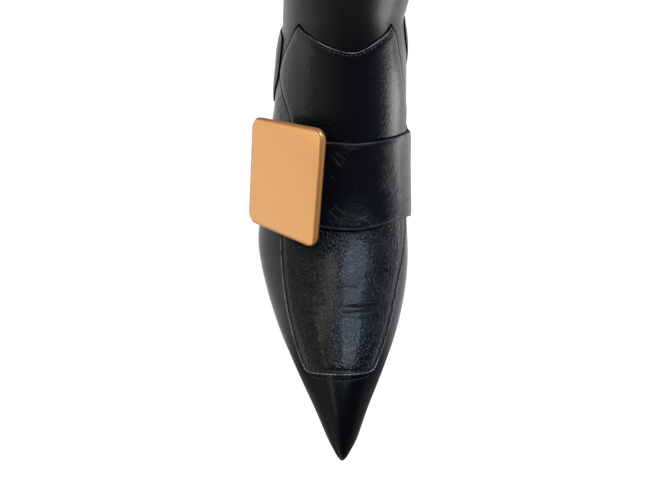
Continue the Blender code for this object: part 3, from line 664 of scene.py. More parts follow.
def quarter_edges(rows):
    """Lateral and medial front edge of the back panel, and its hem, as shares of the way round."""
    edges = table(QUARTER_COLUMNS, QUARTER)
    to_seam = np.clip((rows - HEEL_WAIST - 1) / (QUARTER_CLOSE_ROW - HEEL_WAIST - 1), 0, 1)
    hem = QUARTER_HEM + (1 - QUARTER_HEM) * to_seam ** 2
    lateral, medial = (spline(edges["row"], edges[side], rows) for side in ("lateral", "medial"))
    return lateral, medial, hem


def strap_places(turn, across):
    """Rows of the strap at turns and shares of its width, and how far it is lifted by the front panel."""
    sweep = STRAP_SWEEP * (np.hypot(turn, STRAP_ROUND) - STRAP_ROUND) / (1 + STRAP_SETTLE * turn ** 2)
    row = STRAP_FRONT_ROW + sweep + (STRAP_BACK_ROW - STRAP_FRONT_ROW) * across
    lateral, medial = apron_edges(row)
    beyond = np.abs(turn) - np.where(turn > 0, lateral, medial)
    over_panel = 1 - ease((beyond - STRAP_EASE / 4) / STRAP_EASE)
    return row, PANEL_TOP * over_panel


# Sizes over the surface of the last
TABLE_ROWS = np.linspace(0, COLLAR, 421)
TABLE_TURNS = np.linspace(-1, 1, 241)


def measure_last():
    """Reach of every table row along the crown, and distance around from the crown at every table turn."""
    points = last_point(TABLE_ROWS[:, None], TABLE_TURNS[None, :])
    middle = len(TABLE_TURNS) // 2
    along = np.linalg.norm(np.diff(points[:, middle], axis=0), axis=1)
    reach = np.concatenate([[0.0], np.cumsum(along)])
    steps = np.linalg.norm(np.diff(points, axis=1), axis=2)
    run = np.concatenate([np.zeros((len(points), 1)), np.cumsum(steps, axis=1)], axis=1)
    return reach, run - run[:, middle:middle + 1]


REACH, AROUND = measure_last()


def reach_of(row):
    """Reach of a row along the crown."""
    return np.interp(row, TABLE_ROWS, REACH)


def row_at(reach):
    """Row at a reach along the crown."""
    return np.interp(reach, REACH, TABLE_ROWS)


def around_of(row, turn):
    """Distance around from the crown, positive on the outer side."""
    row, turn = np.broadcast_arrays(np.asarray(row, float), np.asarray(turn, float))
    i = np.clip(row / COLLAR * (len(TABLE_ROWS) - 1), 0, len(TABLE_ROWS) - 1.001)
    j = np.clip((turn + 1) / 2 * (len(TABLE_TURNS) - 1), 0, len(TABLE_TURNS) - 1.001)
    i0 = i.astype(int)
    j0 = j.astype(int)
    di = i - i0
    dj = j - j0
    low = AROUND[i0, j0] * (1 - dj) + AROUND[i0, j0 + 1] * dj
    high = AROUND[i0 + 1, j0] * (1 - dj) + AROUND[i0 + 1, j0 + 1] * dj
    return low * (1 - di) + high * di


def each_crease(rows, turns, creases):
    """Every crease, with how far along it and off it each place lies from its middle."""
    reach = reach_of(rows)
    around = around_of(rows, turns)
    for crease in map(Crease._make, creases):
        angle = math.radians(crease.heading)
        ahead = reach - crease.reach
        aside = around - crease.around
        along = aside * math.cos(angle) + ahead * math.sin(angle)
        off = ahead * math.cos(angle) - aside * math.sin(angle)
        yield crease, along, off


def crease_relief(rows, turns, creases):
    """Heights of soft creases: each a trough with a low ridge along both sides, fading out to its ends."""
    height = np.zeros(np.broadcast(rows, turns).shape)
    for crease, along, off in each_crease(rows, turns, creases):
        along = along / (crease.length / 2)
        near = (off - crease.bow * along ** 2) / crease.width
        ends = ease(CREASE_TAPER * (1 - np.abs(along)))
        height -= crease.depth * ends * (1 - near ** 2) * np.exp(-near ** 2 / 2)
    return height


def crease_mask(rows, turns, creases, spread):
    """How near a place is to a crease, from 0 to 1: there the leather is finely wrinkled."""
    mask = np.zeros(np.broadcast(rows, turns).shape)
    for crease, along, off in each_crease(rows, turns, creases):
        along = along / (crease.length / 2 + spread)
        off = off / (2 * crease.width + spread)
        mask = np.maximum(mask, np.exp(-along ** 2 - off ** 2))
    return mask


def each_scratch(reach, around, scratches):
    """Length of every scratch, and how far along it and off it a place lies, for arrays or shader sockets."""
    for reach_a, around_a, reach_b, around_b in scratches:
        length = math.hypot(reach_b - reach_a, around_b - around_a)
        ahead = (reach_b - reach_a) / length
        aside = (around_b - around_a) / length
        past = reach - reach_a
        beside = around - around_a
        yield length, past * ahead + beside * aside, past * aside - beside * ahead


def scratch_mask(rows, turns, scratches):
    """How near a place is to a scratch, from 0 to 1."""
    mask = np.zeros(np.broadcast(rows, turns).shape)
    for length, along, off in each_scratch(reach_of(rows), around_of(rows, turns), scratches):
        from_end = np.minimum(along, length - along) / length
        mask = np.maximum(mask, ease(from_end / CRACKLE_ENDS) * bell(off, CRACKLE_WIDTH))
    return mask


def shares(length, spacing):
    """Shares of a length from 0 to 1: close together at both ends, for rounded edges, else even."""
    ends = np.array(EDGE_STEPS) / length
    count = int(round(length * (1 - 2 * ends[-1]) / spacing)) + 1
    middle = np.linspace(ends[-1], 1 - ends[-1], count)
    return np.concatenate([ends[:-1], middle, (1 - ends[:-1])[::-1]])


def runs(*stops):
    """Numbers in even steps between stops, given as a stop, a count of steps, a stop and so on."""
    spans = zip(stops[:-2:2], stops[2::2], stops[1::2])
    parts = [np.linspace(start, end, steps, endpoint=False) for start, end, steps in spans]
    return np.append(np.concatenate(parts), stops[-1])


def distance_to(grid, border):
    """Distance of every point of a grid from the nearest point of a border."""
    tree = KDTree(len(border))
    for number, point in enumerate(border):
        tree.insert(point, number)
    tree.balance()
    nearest = [tree.find(point)[2] for point in grid.reshape(-1, 3)]
    return np.array(nearest).reshape(grid.shape[:2])


def panel_height(distance):
    """Height of a panel's face at a distance from its edge: pared down towards a round edge."""
    body = PANEL_THIN + (PANEL_TOP - PANEL_THIN) * ease(distance / PANEL_SKIVE)
    return LAY + (body - LAY) * quarter_round(distance, PANEL_ROUND)


def round_off(distance, radius):
    """How far a rounded edge falls back at a distance from it."""
    return radius * (1 - quarter_round(distance, radius))


def meet(grid, rows, left=0, right=-1):
    """Bring two columns together, at these rows, where they are the two sides of a seam."""
    for i in rows:
        grid[i, left] = grid[i, right] = (grid[i, left] + grid[i, right]) / 2
    return grid


def fold(grid):
    """Fold the first row so that its two halves lie on each other."""
    grid[0] = (grid[0] + grid[0, ::-1]) / 2
    return grid


def closed_mesh(name, lower, upper, marks=None, open_column=None):
    """A closed mesh between two grids of points, with a wall along every open edge.

    marks are named grids of numbers kept on the points. No faces lie beyond the open column, if there is one.
    """
    rows, columns = upper.shape[:2]
    first_of = {}
    index = [first_of.setdefault(tuple(point), i) for i, point in enumerate(upper.reshape(-1, 3).tolist())]
    above = rows * columns
    faces = []
    uses = {}
    for i in range(rows - 1):
        for j in range(columns - 1):
            if j == open_column:
                continue
            corners = [(i, j), (i + 1, j), (i + 1, j + 1), (i, j + 1)]
            ring = list(dict.fromkeys(index[row * columns + column] for row, column in corners))
            if len(ring) < 3:
                continue
            faces.append(ring)
            faces.append([corner + above for corner in reversed(ring)])
            for pair in zip(ring, ring[1:] + ring[:1]):
                uses.setdefault(frozenset(pair), []).append(pair)
    for pairs in uses.values():
        if len(pairs) == 1:
            a, b = pairs[0]
            faces.append([b, a, a + above, b + above])
    mesh = bpy.data.meshes.new(name)
    points = np.concatenate([upper.reshape(-1, 3), lower.reshape(-1, 3)])
    mesh.from_pydata(points.tolist(), [], faces)
    for mark, values in (marks or {}).items():
        layer = mesh.attributes.new(mark, "FLOAT", "POINT")
        flat = np.broadcast_to(values, (rows, columns)).ravel()
        layer.data.foreach_set("value", np.concatenate([flat, flat]).astype(np.float32))
    tidy_mesh(mesh)
    return mesh


def tidy_mesh(mesh):
    """Join points that coincide, drop loose ones, and turn the faces outwards."""
    work = bmesh.new()
    work.from_mesh(mesh)
    bmesh.ops.remove_doubles(work, verts=work.verts, dist=SAME_POINT)
    bmesh.ops.delete(work, geom=[vert for vert in work.verts if not vert.link_faces], context="VERTS")
    bmesh.ops.recalc_face_normals(work, faces=work.faces)
    work.to_mesh(mesh)
    work.free()


def add_piece(name, mesh, material, replaces=(), sharp=None):
    """Put a mesh into the scene as a piece that rides on the CAD body."""
    mesh.materials.append(material)
    mesh.shade_smooth()
    if sharp is not None:
        mesh.set_sharp_from_angle(angle=math.radians(sharp))
    piece = bpy.data.objects.new(name, mesh)
    bpy.context.scene.collection.objects.link(piece)
    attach(piece, BODY)
    if replaces:
        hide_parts(*replaces)
    return piece


class Socket:
    """An output of a shader node as a number in Python expressions; each operation adds a Math node."""

    def __init__(self, shader, output):
        self.shader = shader
        self.output = output

    def maths(self, operation, first, second):
        """The result of one Math node."""
        return self.shader.node("ShaderNodeMath", {"operation": operation}, {0: first, 1: second})

    def __add__(self, other):
        return self.maths("ADD", self, other)

    def __radd__(self, other):
        return self.maths("ADD", other, self)

    def __sub__(self, other):
        return self.maths("SUBTRACT", self, other)

    def __rsub__(self, other):
        return self.maths("SUBTRACT", other, self)

    def __mul__(self, other):
        return self.maths("MULTIPLY", self, other)

    def __rmul__(self, other):
        return self.maths("MULTIPLY", other, self)

    def __truediv__(self, other):
        return self.maths("DIVIDE", self, other)

    def __rtruediv__(self, other):
        return self.maths("DIVIDE", other, self)

    def __pow__(self, other):
        return self.maths("POWER", self, other)

    def step(self, low, high):
        """A smooth step that is 0 at low and 1 at high."""
        limits = {"Value": self, "From Min": low, "From Max": high}
        return self.shader.node("ShaderNodeMapRange", {"interpolation_type": "SMOOTHSTEP"}, limits)


class Shader:
    """The node tree of a material or of the world."""

    def __init__(self, owner):
        owner.use_nodes = True
        self.owner = owner
        self.tree = owner.node_tree
        self.tree.nodes.clear()

    def node(self, kind, settings=None, inputs=None, output=0):
        """Add a node: its settings first, such as an operation or a ramp's stops, then its sockets."""
        node = self.tree.nodes.new(kind)
        for name, value in (settings or {}).items():
            if name == "stops":
                set_stops(node.color_ramp, value)
            else:
                setattr(node, name, value)
        for name, value in (inputs or {}).items():
            if isinstance(value, Socket):
                self.tree.links.new(value.output, node.inputs[name])
            else:
                node.inputs[name].default_value = value
        return Socket(self, node.outputs[output]) if len(node.outputs) else None

    def place(self):
        """Place on the piece, in metres."""
        return self.node("ShaderNodeTexCoord", output="Object")

    def stretched(self, place, scale, turn=(0.0, 0.0, 0.0)):
        """A place for patterns that are stretched along each axis and then turned."""
        return self.node("ShaderNodeMapping", {"vector_type": "TEXTURE"},
                         {"Vector": place, "Rotation": turn, "Scale": scale})

    def noise(self, place, size, detail=2.0):
        """Cloudy noise from 0 to 1 with features of about this size."""
        return self.node("ShaderNodeTexNoise", {}, {"Vector": place, "Scale": 1 / size, "Detail": detail})

    def cells(self, place, size):
        """Distance from the edges of irregular cells of about this size."""
        return self.node("ShaderNodeTexVoronoi", {"feature": "DISTANCE_TO_EDGE"},
                         {"Vector": place, "Scale": 1 / size})

    def hairlines(self, scratches, stray):
        """Hairline scratches, from 0 to 1, on a mesh that keeps its reach and around."""
        begin, end = SCRATCH_FULL
        total = 0.0
        for length, along, off in each_scratch(self.mark("reach"), self.mark("around") + stray, scratches):
            line = 1.0 - (off * off).step(0.0, SCRATCH_WIDTH ** 2)
            fade = along.step(0.0, begin * length) * (1.0 - along.step(end * length, length))
            total = total + line * fade
        return total

    def spots(self, place, size):
        """Distance from scattered points that lie about this far apart, as a share of it."""
        return self.node("ShaderNodeTexVoronoi", {"feature": "F1"}, {"Vector": place, "Scale": 1 / size})

    def mark(self, name):
        """A number kept on the points of the mesh."""
        return self.node("ShaderNodeAttribute", {"attribute_name": name}, output="Fac")

    def mix(self, share, first, second):
        """A colour between two others."""
        return self.node("ShaderNodeMix", {"data_type": "RGBA"}, {0: share, 6: first, 7: second}, output=2)

    def bump(self, height):
        """Normal of a surface raised by these heights in metres."""
        inputs = {"Strength": 1.0, "Distance": 1.0, "Height": height}
        return self.node("ShaderNodeBump", {}, inputs, output="Normal")

    def surface(self, **sockets):
        """A principled surface whose sockets are given by name, with _ for a space."""
        inputs = {name.replace("_", " "): value for name, value in sockets.items()}
        return self.node("ShaderNodeBsdfPrincipled", {}, inputs)

    def finish(self, surface):
        """End with this surface."""
        self.node("ShaderNodeOutputMaterial", {}, {"Surface": surface})
        return self.owner


def set_stops(ramp, stops):
    """Give a colour ramp these stops of a place and a grey."""
    while len(ramp.elements) > 1:
        ramp.elements.remove(ramp.elements[-1])
    for number, (place, grey) in enumerate(stops):
        stop = ramp.elements[0] if number == 0 else ramp.elements.new(place)
        stop.position = place
        stop.color = (grey, grey, grey, 1.0)


def opaque(colour):
    """A colour property as red, green, blue and alpha."""
    return (*colour, 1.0)


def calf(name, leather, roughness, grain, pebbles, scratches=()):
    """Glazed calf: fine grain, fine wrinkles near creases, scratches and dust specks, a lighter colour for
    rubbed wear and painted highlights, and matte black for raw edges and painted shade.

    The roughness is added to that of the leather, and grain and pebbles are shares of its depths.
    """
    shader = Shader(bpy.data.materials.new(name))
    place = shader.place()
    cloud = shader.noise(place, CLOUD_SIZE, 3.0)
    wander = shader.noise(place, WANDER_SIZE, 2.0)
    fine = shader.noise(place, leather.grain_size * FINE_GRAIN, 2.0)
    pebble = shader.cells(place, leather.grain_size).step(0.0, GRAIN_RISE)
    coarse = shader.noise(place, leather.pebble_size, 1.0)
    flex = shader.mark("flex")
    long_cells = shader.cells(shader.stretched(place, LONG_STRETCH), LONG_WRINKLES)
    short_cells = shader.cells(shader.stretched(place, SHORT_STRETCH), SHORT_WRINKLES)
    lines = 1.0 - long_cells.step(0.0, LONG_WIDTH) + SHORT_SHARE * (1.0 - short_cells.step(0.0, SHORT_WIDTH))
    wrinkle = lines * flex * wander.step(*WRINKLED)
    scratch = shader.hairlines(scratches, (wander - 0.5) * SCRATCH_WANDER) if scratches else 0.0
    specks = 1.0 - shader.spots(place, SPECK_SPACING).step(*SPECK_LIMITS)
    # lighter colour: rubbed wear at the collar, painted highlights along the scallop and the rolled seam,
    # both along the strap's edges, and real scratches and dust specks
    wear_and_highlight = shader.mark("edge") * wander.step(*WEAR_AND_HIGHLIGHT_SPAN) + SCRATCH_RUBBED * scratch + SPECK_RUBBED * specks
    depth = leather.grain_depth * grain
    height = pebble * depth + fine * (FINE_DEPTH * depth) + coarse * (leather.pebble_depth * pebbles)
    grained = shader.mark("pebble")
    height = height * grained - wrinkle * leather.wrinkle_depth - scratch * (SCRATCH_DEPTH * depth)
    normal = shader.bump(height)
    rough = leather.roughness + roughness + CLOUD_ROUGH * (cloud - 0.5) + GRAIN_ROUGH * (fine - 0.5)
    rough = rough + WRINKLE_ROUGH * wrinkle + WEAR_AND_HIGHLIGHT_ROUGH * wear_and_highlight + SMOOTH_ROUGH * (1.0 - grained)
    colour = shader.mix(wear_and_highlight, opaque(leather.colour), opaque(leather.wear_and_highlight_colour))
    glazed = shader.surface(Base_Color=colour, Roughness=rough, Normal=normal,
                            Specular_IOR_Level=leather.gloss, Coat_Weight=leather.coat,
                            Coat_Roughness=leather.coat_roughness)
    # matte black surface for raw edges and for painted shade down the toe's sides and along the seams; a
    # share of it also dulls the shaft
    raw_and_shade = shader.surface(Base_Color=opaque(leather.raw_and_shade_colour), Roughness=RAW_AND_SHADE_ROUGH, Normal=normal,
                         Specular_IOR_Level=0.0)
    return shader.finish(shader.node("ShaderNodeMixShader", {}, {0: shader.mark("raw_and_shade"), 1: glazed, 2: raw_and_shade}))


def plain_leather(name, colour, roughness, grain_size, grain_depth):
    """Plain leather of a lining, a sock, a sole or a heel: fine grain and a soft change of gloss."""
    shader = Shader(bpy.data.materials.new(name))
    place = shader.place()
    cloud = shader.noise(place, PLAIN_CLOUD_SIZE, 3.0)
    fine = shader.noise(place, grain_size * PLAIN_FINE_GRAIN, 3.0)
    pebble = shader.cells(place, grain_size).step(0.0, PLAIN_GRAIN_RISE)
    dark = opaque([PLAIN_DARK * part for part in colour])
    shade = shader.mix(PLAIN_CLOUD_SHARE * cloud, opaque(colour), dark)
    rough = roughness + PLAIN_CLOUD_ROUGH * (cloud - 0.5)
    height = pebble * grain_depth + fine * (PLAIN_FINE_DEPTH * grain_depth)
    return shader.finish(shader.surface(Base_Color=shade, Roughness=rough, Normal=shader.bump(height)))


def gold(name, plate):
    """Polished gold-coloured metal: a faint change of gloss, duller round the rim and dark at the back."""
    shader = Shader(bpy.data.materials.new(name))
    place = shader.place()
    cloud = shader.noise(place, METAL_CLOUD_SIZE, 3.0)
    haze = shader.noise(shader.stretched(place, METAL_HAZE_STRETCH, METAL_HAZE_TURN), METAL_HAZE_SIZE, 2.0)
    rim = shader.mark("rim")
    back = shader.mark("back")
    rough = plate.roughness + METAL_CLOUD_ROUGH * (cloud - 0.5) + METAL_HAZE_ROUGH * (haze - 0.5)
    rough = rough + METAL_RIM_ROUGH * rim + METAL_BACK_ROUGH * back
    deep = METAL_CLOUD_SHARE * cloud + METAL_RIM_SHARE * rim
    colour = shader.mix(deep, opaque(plate.colour), opaque(plate.deep_colour))
    colour = shader.mix(back, colour, opaque(plate.back_colour))
    return shader.finish(shader.surface(Base_Color=colour, Metallic=1.0, Roughness=rough))


def waxed_thread(name, seams):
    """Waxed thread: twisted strands as a fine slanting bump."""
    shader = Shader(bpy.data.materials.new(name))
    place = shader.place()
    strand = shader.noise(shader.stretched(place, STRAND_STRETCH, STRAND_TURN), STRAND_SIZE, 1.0)
    rough = THREAD_ROUGH + STRAND_ROUGH * strand
    normal = shader.bump(strand * STRAND_DEPTH)
    colour = opaque(seams.thread_and_glint_colour)
    return shader.finish(shader.surface(Base_Color=colour, Roughness=rough, Normal=normal))


def lift_rubber(name, sole):
    """Hard rubber of the top lift, slightly worn."""
    shader = Shader(bpy.data.materials.new(name))
    place = shader.place()
    cloud = shader.noise(place, RUBBER_CLOUD_SIZE, 3.0)
    fine = shader.noise(place, RUBBER_GRAIN_SIZE, 2.0)
    wear_and_shade = opaque([RUBBER_WORN * part for part in sole.lift_colour])
    shade = shader.mix(RUBBER_WORN_SHARE * cloud, opaque(sole.lift_colour), wear_and_shade)
    rough = RUBBER_ROUGH + RUBBER_CLOUD_ROUGH * (cloud - 0.5)
    normal = shader.bump(fine * RUBBER_GRAIN_DEPTH)
    return shader.finish(shader.surface(Base_Color=shade, Roughness=rough, Normal=normal))


class BOOTIE_PG_leather(bpy.types.PropertyGroup):
    """The black calf of the upper, its panels and the strap."""

    colour: bpy.props.FloatVectorProperty(
        name="Colour", description="Colour of the glazed calf", subtype="COLOR", size=3, min=0, max=1,
        default=(0.0036, 0.0041, 0.0054))
    # light grey of rubbed wear and of painted highlights along the seams and the strap's edges
    wear_and_highlight_colour: bpy.props.FloatVectorProperty(
        name="Rubbed colour", description="Colour where edges and scratches are rubbed", subtype="COLOR",
        size=3, min=0, max=1, default=(0.42, 0.42, 0.43))
    # matte black of raw edges and of painted shade, down the toe's sides and along the seams
    raw_and_shade_colour: bpy.props.FloatVectorProperty(
        name="Raw colour", description="Colour of raw edges and under the worn glaze of the toe",
        subtype="COLOR", size=3, min=0, max=1, default=(0.0030, 0.0030, 0.0033))
    lining_colour: bpy.props.FloatVectorProperty(
        name="Lining colour", description="Colour of the lining and of the sock", subtype="COLOR", size=3,
        min=0, max=1, default=(0.030, 0.028, 0.027))
    roughness: bpy.props.FloatProperty(
        name="Roughness", description="Roughness of the glazed face", subtype="FACTOR", min=0, max=1,
        default=0.26)
    gloss: bpy.props.FloatProperty(
        name="Gloss", description="How strongly the glazed face reflects", subtype="FACTOR", min=0, max=1,
        default=0.22)
    coat: bpy.props.FloatProperty(
        name="Coat", description="Share of the clear glaze", subtype="FACTOR", min=0, max=1, default=0.08)
    coat_roughness: bpy.props.FloatProperty(
        name="Coat roughness", description="Roughness of the clear glaze", subtype="FACTOR", min=0, max=1,
        default=0.12)
    grain_size: bpy.props.FloatProperty(
        name="Grain size", description="Size of a grain of the leather", unit="LENGTH", min=0.0001,
        default=0.0009)
    grain_depth: bpy.props.FloatProperty(
        name="Grain depth", description="Depth of the grain", unit="LENGTH", min=0, default=0.00006)
    pebble_size: bpy.props.FloatProperty(
        name="Pebble size", description="Size of the broader bumps under the grain", unit="LENGTH",
        min=0.0001, default=0.0013)
    pebble_depth: bpy.props.FloatProperty(
        name="Pebble depth", description="Depth of the broader bumps", unit="LENGTH", min=0, default=0.00048)
    wrinkle_depth: bpy.props.FloatProperty(
        name="Wrinkle depth", description="Depth of the fine wrinkles near creases", unit="LENGTH", min=0,
        default=0.00006)


class BOOTIE_PG_seams(bpy.types.PropertyGroup):
    """Stitches and the rolled seam round the front panel."""

    stitch_length: bpy.props.FloatProperty(
        name="Stitch length", description="Length of one stitch", unit="LENGTH", min=0.0005, default=0.0016)
    stitch_gap: bpy.props.FloatProperty(
        name="Stitch gap", description="Gap between stitches", unit="LENGTH", min=0.0001, default=0.0005)
    thread: bpy.props.FloatProperty(
        name="Thread", description="Thickness of the thread", unit="LENGTH", min=0.0001, default=0.00036)
    ridge_height: bpy.props.FloatProperty(
        name="Ridge height", description="Height of the rolled seam", unit="LENGTH", min=0, default=0.00055)
    ridge_width: bpy.props.FloatProperty(
        name="Ridge width", description="Width of the rolled seam", unit="LENGTH", min=0.0002, default=0.0013)
    bead_pitch: bpy.props.FloatProperty(
        name="Bead pitch", description="Distance between the stitches that pull the rolled seam in",
        unit="LENGTH", min=0.0005, default=0.0020)
    # dark grey thread, lighter than the leather partly as a painted glint on the stitches
    thread_and_glint_colour: bpy.props.FloatVectorProperty(
        name="Thread colour", description="Colour of the thread", subtype="COLOR", size=3, min=0, max=1,
        default=(0.040, 0.040, 0.042))


class BOOTIE_PG_plate(bpy.types.PropertyGroup):
    """The square plate."""

    colour: bpy.props.FloatVectorProperty(
        name="Colour", description="Colour of the metal", subtype="COLOR", size=3, min=0, max=1,
        default=(0.67, 0.343, 0.135))
    deep_colour: bpy.props.FloatVectorProperty(
        name="Deep colour", description="Colour of its darker clouds", subtype="COLOR", size=3, min=0, max=1,
        default=(0.61, 0.295, 0.107))
    back_colour: bpy.props.FloatVectorProperty(
        name="Back colour", description="Colour of the dull back", subtype="COLOR", size=3, min=0, max=1,
        default=(0.10, 0.055, 0.025))
    roughness: bpy.props.FloatProperty(
        name="Roughness", description="Roughness of the polish", subtype="FACTOR", min=0, max=1, default=0.18)
    crown: bpy.props.FloatProperty(
        name="Crown", description="How far the middle of the face stands above its rim", unit="LENGTH", min=0,
        default=0.00008)


class BOOTIE_PG_sole(bpy.types.PropertyGroup):
    """Sole, insole, heel and top lift."""

    colour: bpy.props.FloatVectorProperty(
        name="Sole colour", description="Colour of the sole", subtype="COLOR", size=3, min=0, max=1,
        default=(0.016, 0.015, 0.0145))
    heel_colour: bpy.props.FloatVectorProperty(
        name="Heel colour", description="Colour of the heel", subtype="COLOR", size=3, min=0, max=1,
        default=(0.010, 0.010, 0.0105))
    lift_colour: bpy.props.FloatVectorProperty(
        name="Top lift colour", description="Colour of the top lift", subtype="COLOR", size=3, min=0, max=1,
        default=(0.014, 0.014, 0.014))
    edge_round: bpy.props.FloatProperty(
        name="Edge rounding", description="Rounding of the sole's edges", unit="LENGTH", min=0.0001,
        default=0.0009)


class BOOTIE_PG_stage(bpy.types.PropertyGroup):
    """Floor, light and camera."""

    floor_colour: bpy.props.FloatVectorProperty(
        name="Floor colour", description="Colour of the floor", subtype="COLOR", size=3, min=0, max=1,
        default=(0.30, 0.30, 0.30))
    floor_glow: bpy.props.FloatProperty(
        name="Floor glow", description="Light of the floor itself, as of a light table", min=0, default=0.93)
    floor_size: bpy.props.FloatProperty(
        name="Floor size", description="Side of the floor", unit="LENGTH", min=0.1,
        default=20 * (CAD_HIGH - CAD_LOW).y)
    surround: bpy.props.FloatProperty(
        name="Surround", description="Strength of the surround near the floor", min=0, default=0.28)
    side: bpy.props.FloatProperty(
        name="Side light", description="Brightness of the low light on the inner side", min=0, default=6.2)
    plate: bpy.props.FloatProperty(
        name="Plate light", description="Brightness of the low light that the plate reflects", min=0,
        default=1.10)
    cool: bpy.props.FloatProperty(
        name="Cool light", description="Brightness of the cool light overhead", min=0, default=11.5)
    warm: bpy.props.FloatProperty(
        name="Warm light", description="Brightness of the warm strip lights", min=0, default=7.0)
    left: bpy.props.FloatProperty(
        name="Left wall", description="Strength of the surround on the outer side", min=0, default=0.25)
    lens: bpy.props.FloatProperty(
        name="Lens", description="Focal length of the camera", unit="CAMERA", min=1, default=CAMERA_LENS)


class BOOTIE_PG_settings(bpy.types.PropertyGroup):
    """All sizes and colours of the looks."""

    leather: bpy.props.PointerProperty(type=BOOTIE_PG_leather, name="Leather", description="The black calf")
    seams: bpy.props.PointerProperty(type=BOOTIE_PG_seams, name="Seams", description="Stitches and seams")
    plate: bpy.props.PointerProperty(type=BOOTIE_PG_plate, name="Plate", description="The square plate")
    sole: bpy.props.PointerProperty(type=BOOTIE_PG_sole, name="Sole", description="Sole and heel")
    stage: bpy.props.PointerProperty(type=BOOTIE_PG_stage, name="Stage", description="Floor and light")


def wall_seam_row(turn):
    """Row of the back edge of the front wall at a turn."""
    return WALL_SEAM_ROW - WALL_SEAM_SLOPE * (np.abs(turn) - WALL_SEAM_TURN)


def beside_wall_seam(turns):
    """How far the back edge of the front wall shows at a turn, from 0 to 1."""
    share = np.abs(turns)
    start, end = WALL_SEAM_TURNS
    fade_in, fade_out = WALL_SEAM_ENDS
    return ease((share - start) / fade_in) * ease((end - share) / fade_out)


def upper_relief(rows, turns):
    """Heights over the upper: creases, the step behind the front wall and the toe's stitched groove."""
    height = crease_relief(rows, turns, UPPER_CREASES)
    ahead = reach_of(wall_seam_row(turns)) - reach_of(rows)
    step = quarter_round(ahead, WALL_SEAM_ROUND) * (1 - ease(ahead / WALL_SEAM_FADE))
    height = height + WALL_SEAM_STEP * beside_wall_seam(turns) * step
    lateral, medial = apron_edges(rows)
    across = np.clip(turns / np.where(turns > 0, lateral, medial), -1.1, 1.1)
    ahead = reach_of(apron_ends(across)[0]) - reach_of(rows)
    groove = bell(ahead - TOE_STITCH_AHEAD, GROOVE_WIDTH) * step_over(np.abs(across), TOE_GROOVE_ENDS)
    return height - TOE_GROOVE * groove


class BOOTIE_OT_upper(bpy.types.Operator):
    """Add the outer leather of the upper and its lining"""

    bl_idname = "bootie.upper"
    bl_label = "Upper and lining"

    def execute(self, context):
        leather = context.scene.bootie.leather
        near_seam = row_at(reach_of(TOE_SEAM_ROW) - TOE_SEAM_CLOSE)
        wall_start, wall_end = WALL_SEAM_CLOSE
        forepart = (0, 12, 1, 20, near_seam, 24, TOE_SEAM_ROW + TOE_SEAM_BOW, 64, wall_start, 36, wall_end)
        rows = runs(*forepart, 40, HEEL_CORNER, 50, COLLAR_CLOSE, 8, COLLAR)[:, None]
        half = runs(0, 38, WIDEST_TURN, 30, 1)
        turns = np.concatenate([-half[:0:-1], half])[None, :]
        closed = np.flatnonzero(rows[:, 0] >= HEEL_CORNER)
        below_collar = reach_of(COLLAR) - reach_of(rows)
        rounding = round_off(below_collar, COLLAR_ROUND) * WALL / 2 / COLLAR_ROUND
        outside = meet(fold(last_point(rows, turns, rounding - upper_relief(rows, turns))), closed)
        plain = meet(fold(last_point(rows, turns, rounding)), closed)
        inside = meet(fold(lining_point(rows, turns)), closed)
        middle = plain + (inside - plain) * LINING_SHARE
        wear_and_highlight, wear_and_highlight_width = COLLAR_RUBBED
        marks = {
            "flex": crease_mask(rows, turns, UPPER_CREASES, UPPER_SPREAD),
            "edge": wear_and_highlight * bell(below_collar, wear_and_highlight_width),
            # matte black: painted shade down the toe's sides, a share over the shaft, and the raw edge of the
            # front wall
            "raw_and_shade": np.maximum(self.wear_and_shade(rows, turns), self.wall_edge(rows, turns)),
            "pebble": 1.0,
        }
        mesh = closed_mesh("upper_leather", middle, outside, marks)
        material = calf("upper_calf", leather, roughness=0.02, grain=0.5, pebbles=0.1)
        add_piece("upper_leather", mesh, material, ["upper"])
        coarse = slice(None, None, 2)
        lining_outside = (plain + (inside - plain) * (LINING_SHARE + LINING_GAP))[coarse, coarse]
        mesh = closed_mesh("upper_lining", inside[coarse, coarse], lining_outside)
        material = plain_leather("lining_leather", leather.lining_colour, roughness=0.55, grain_size=0.0011,
                                 grain_depth=0.00002)
        add_piece("upper_lining", mesh, material)
        return {"FINISHED"}

    def wear_and_shade(self, rows, turns):
        """Share of matte black: painted shade down both sides of the toe, and a little over the shaft."""
        middle, half_width = TOE_UNSHADED_STRIP
        aside = 1 - TOE_UNSHADED_SHARE * bell(turns - middle, half_width)
        # painted shade down the toe's sides, leaving out a strip on its outer side
        at_toe = TOE_SHADE_SHARE * aside * (1 - step_over(reach_of(rows), TOE_SHADE_REACH))
        return at_toe + SHAFT_MATTE_SHARE * step_over(rows, SHAFT_MATTE_ROWS)

    def wall_edge(self, rows, turns):
        """The raw edge at the back of the front wall."""
        behind = reach_of(rows) - reach_of(wall_seam_row(turns))
        return beside_wall_seam(turns) * bell(behind, WALL_SEAM_ROUND)


